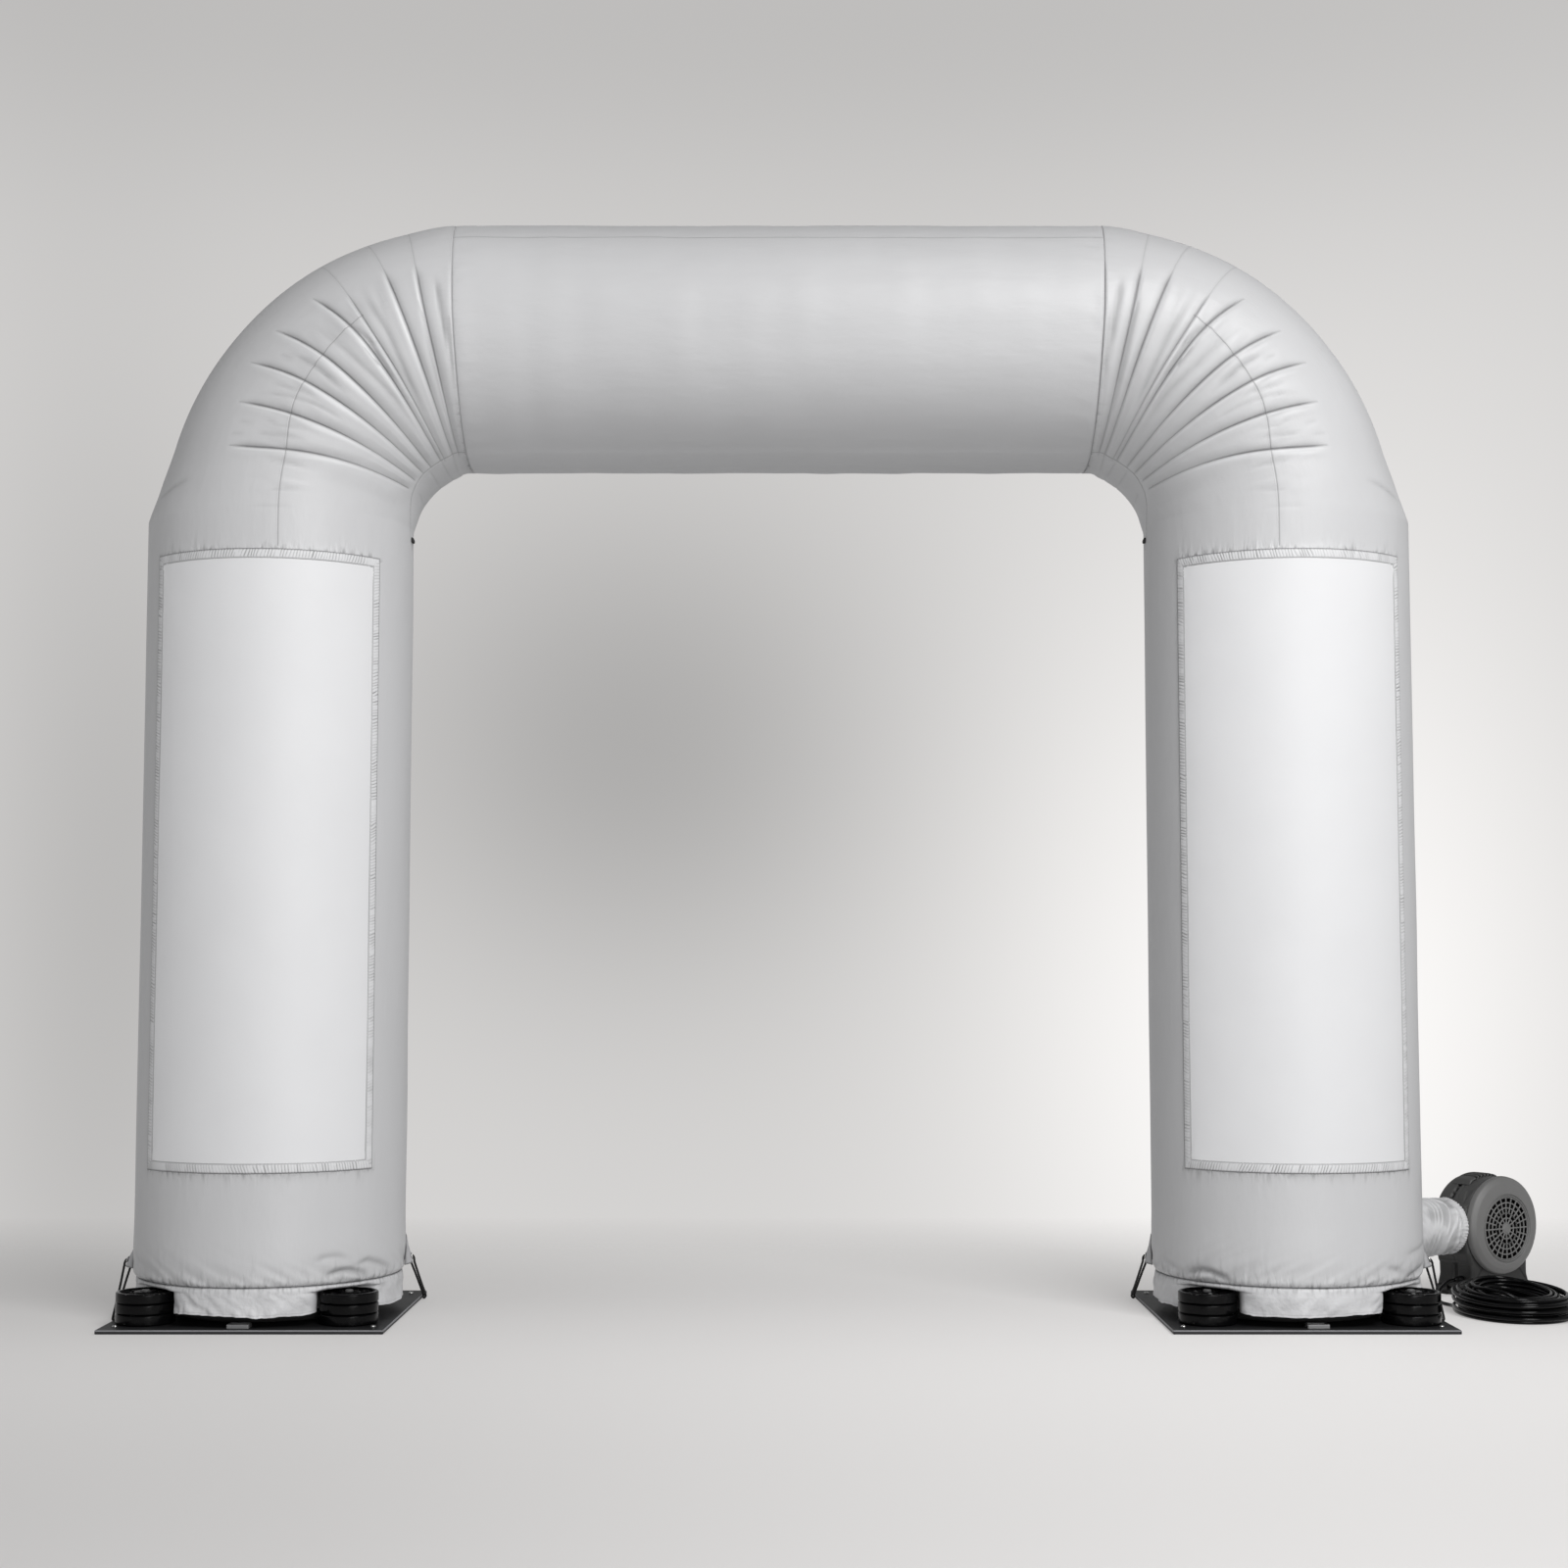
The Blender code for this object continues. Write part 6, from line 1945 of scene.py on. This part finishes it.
def tube_piece(name, line, radius, sides=12, closed=False, relief=None):
    """A round bar along a line, with its length and turn as its map."""
    one, two = tube_frames(line, closed)
    angle = np.arange(sides) * math.tau / sides
    step = np.linalg.norm(np.diff(line, axis=0, append=line[:1] if closed else line[-1:]), axis=1)
    along = np.concatenate([[0.0], np.cumsum(step)[:-1]])
    reach = np.broadcast_to(np.asarray(radius, float).reshape(-1, 1), (len(line), 1)).copy()
    reach = reach + (relief(along[:, None], angle[None, :]) if relief else 0.0 * angle)
    turn = angle[None, :, None]
    out = one[:, None, :] * np.cos(turn) + two[:, None, :] * np.sin(turn)
    points = line[:, None, :] + reach[..., None] * out
    across = (angle * float(np.mean(radius)))[None, :] + 0 * along[:, None]
    up = along[:, None] + 0 * angle
    if closed:
        points, across = np.concatenate([points, points[:1]]), np.concatenate([across, across[:1]])
        up = np.concatenate([up, up[:1] + along[-1] + step[-1]])
    return grid_piece(name, points, wrap=True, caps=not closed, closed=True,
                      uv=(across, up, math.tau * float(np.mean(radius))))


def make_cord(finish):
    """The coiled cable with the plug at its far end."""
    line = smooth_line(cord_route(), CORD_STEP)
    made = tube_piece("cable", line, CORD_DIAMETER / 2, 14)
    finish_piece(made, finish, "cord_rubber", "cord_lead", "cord_coil")
    plug = make_plug(finish)
    return made


# ------------------------------------------------------------------ surroundings
BACKDROP = 0.6575                       # how bright
BACKDROP_TINT = (1.014, 0.998, 0.985)
GLOWS = (
    # painted light and shade: strength, then middle and reach of a soft bright or dark patch of the
    # backdrop, to the side and up
    (0.330, 0.211, -0.028, 0.125, 0.208),
    (-0.239, -0.063, 0.094, 0.120, 0.110),
    (-0.147, -0.077, 0.384, 0.800, 0.085),
    (-0.160, -0.275, 0.018, 0.062, 0.238),
)
AMBIENT = (0.46, 0.46, 0.46)
AMBIENT_ABOVE = 0.15                    # the soft light from straight above, against the side
AMBIENT_LEFT = 1.18                     # and from the left
FLOOR = (0.40, 0.393, 0.389)
FLOOR_GLOW = (0.262, 0.257, 0.254)
FLOOR_HALF_WIDTH, FLOOR_DROP = 40.0, 0.0004     # the drop keeps it clear of the lowest faces
LIGHTS = (
    # name, place, aim, size, power
    ("key", (3.5, -6.8, 7.7), (-0.2, -0.1, 1.6), (4.5, 4.5), 675.0),
    ("front", (2.5, -9.5, 1.6), (-0.2, -0.1, 1.4), (4.0, 4.0), 275.0),
)


def make_surroundings():
    """A pale floor that runs into a soft pale backdrop, and soft light from the front right."""
    world = bpy.data.worlds.new("studio")
    bpy.context.scene.world = world
    world.use_nodes = True
    tree = world.node_tree
    tree.nodes.clear()

    def add(kind, settings, *inputs):
        return add_node(tree, "ShaderNode" + kind, settings, inputs).outputs

    aim = add("TexCoord", {})["Generated"]
    bright = BACKDROP
    for strength, x, z, reach_x, reach_z in GLOWS:
        placed = add("Mapping", {}, aim, (-x / reach_x, 0.0, -z / reach_z), None,
                     (1.0 / reach_x, 0.0, 1.0 / reach_z))[0]
        off = add("VectorMath", {"operation": "DOT_PRODUCT"}, placed, placed)["Value"]
        patch = add("Math", {"operation": "POWER"}, math.exp(-1.0), off)[0]
        bright = add("Math", {"operation": "MULTIPLY_ADD"}, patch, strength, bright)[0]
    tint = add("VectorMath", {"operation": "SCALE"}, BACKDROP_TINT, None, None, bright)[0]
    turn, _, height = add("SeparateXYZ", {}, aim)
    span = add("MapRange", {}, height, 0.2, 1.0, 1.0, AMBIENT_ABOVE)[0]
    lean = add("MapRange", {}, turn, -1.0, 0.0, AMBIENT_LEFT, 1.0)[0]
    span = add("Math", {"operation": "MULTIPLY"}, span, lean)[0]
    light = add("Background", {}, (*AMBIENT, 1.0), span)[0]
    seen = add("Background", {}, tint, 1.0)[0]
    mix = add("MixShader", {}, add("LightPath", {})["Is Camera Ray"], light, seen)[0]
    add("OutputWorld", {}, mix)

    bm = bmesh.new()
    bmesh.ops.create_grid(bm, x_segments=1, y_segments=1, size=FLOOR_HALF_WIDTH)
    floor = mesh_piece("floor", bm)
    floor.location.z = -FLOOR_DROP
    pale = Finish("floor", FLOOR, 0.75, Emission_Strength=1.0)
    x, y, _ = pale.parts(pale.place())
    # painted light: the floor is lighter towards the right and in a pool ahead of the arch, and its
    # glow weakens the shadows on it
    across = ((x + 1.8) / 2.8).clamped()
    ahead = (y + 1.0).near_zero(1.9)
    bright = 0.94 + 0.24 * across * across * (3.0 - 2.0 * across)
    bright = bright + 0.13 * ahead * ahead * (3.0 - 2.0 * ahead)
    pale.give(Base_Color=pale.shade(bright), Emission_Color=pale.shade(bright, FLOOR_GLOW))
    fade = ((y - 0.2) / 2.4).clamped()
    clear = pale.node("BsdfTransparent")
    blend = pale.node("MixShader", None, (fade, pale.shader.outputs[0], clear.outputs[0]))
    pale.tree.links.new(blend.outputs[0], pale.tree.nodes["Material Output"].inputs[0])
    floor.data.materials.append(pale.material)
    floor.visible_diffuse = False
    for name, place, aim, size, power in LIGHTS:
        softbox(name, place, aim, size, power)


# ------------------------------------------------------------------ making it all
make_camera()
make_surroundings()
FINISHES = {
    "tube": tube_cloth(),
    "panel": panel_cloth(),
    "binding": binding_cloth(),
    "skirt": skirt_cloth(),
    "tab": tab_cloth(),
    "pad": pad_cloth(),
    "steel": plate_steel("plate_steel", (0.0105, 0.0105, 0.011), 0.08),
    "clip": plate_steel("clip_steel", (0.080, 0.080, 0.081), 0.5),
    "iron": weight_iron(),
    "bright": bright_steel(),
    "rope": tie_rope(),
    "plastic": blower_plastic("blower_plastic", (0.140, 0.139, 0.137), 0.10),
    # painted shade: the housing, base and hump take a darker copy of the blower's plastic, darker
    # still low down
    "housing": blower_plastic("housing_plastic_painted_shade", (0.056, 0.056, 0.055), 0.85),
    "dark": fan_chamber_painted_shade(),
    "rubber": cord_rubber(),
}
make_cord(FINISHES["rubber"])
for start, which in (("left_", -1), ("right_", 1)):
    make_tube_side(start, which, FINISHES["tube"])
    make_panel(start, which, FINISHES["panel"])
    make_binding(start, which, FINISHES["binding"])
    make_foot(start, which, FINISHES)
    make_ties(start, which, FINISHES)
    make_seam_tip(start, which, FINISHES["pad"])
    plate = bpy.data.objects[start + "plate"]
    for place in plate.material_slots:
        place.material = FINISHES["steel"].material
make_top_tube(FINISHES["tube"])
make_blower(FINISHES)
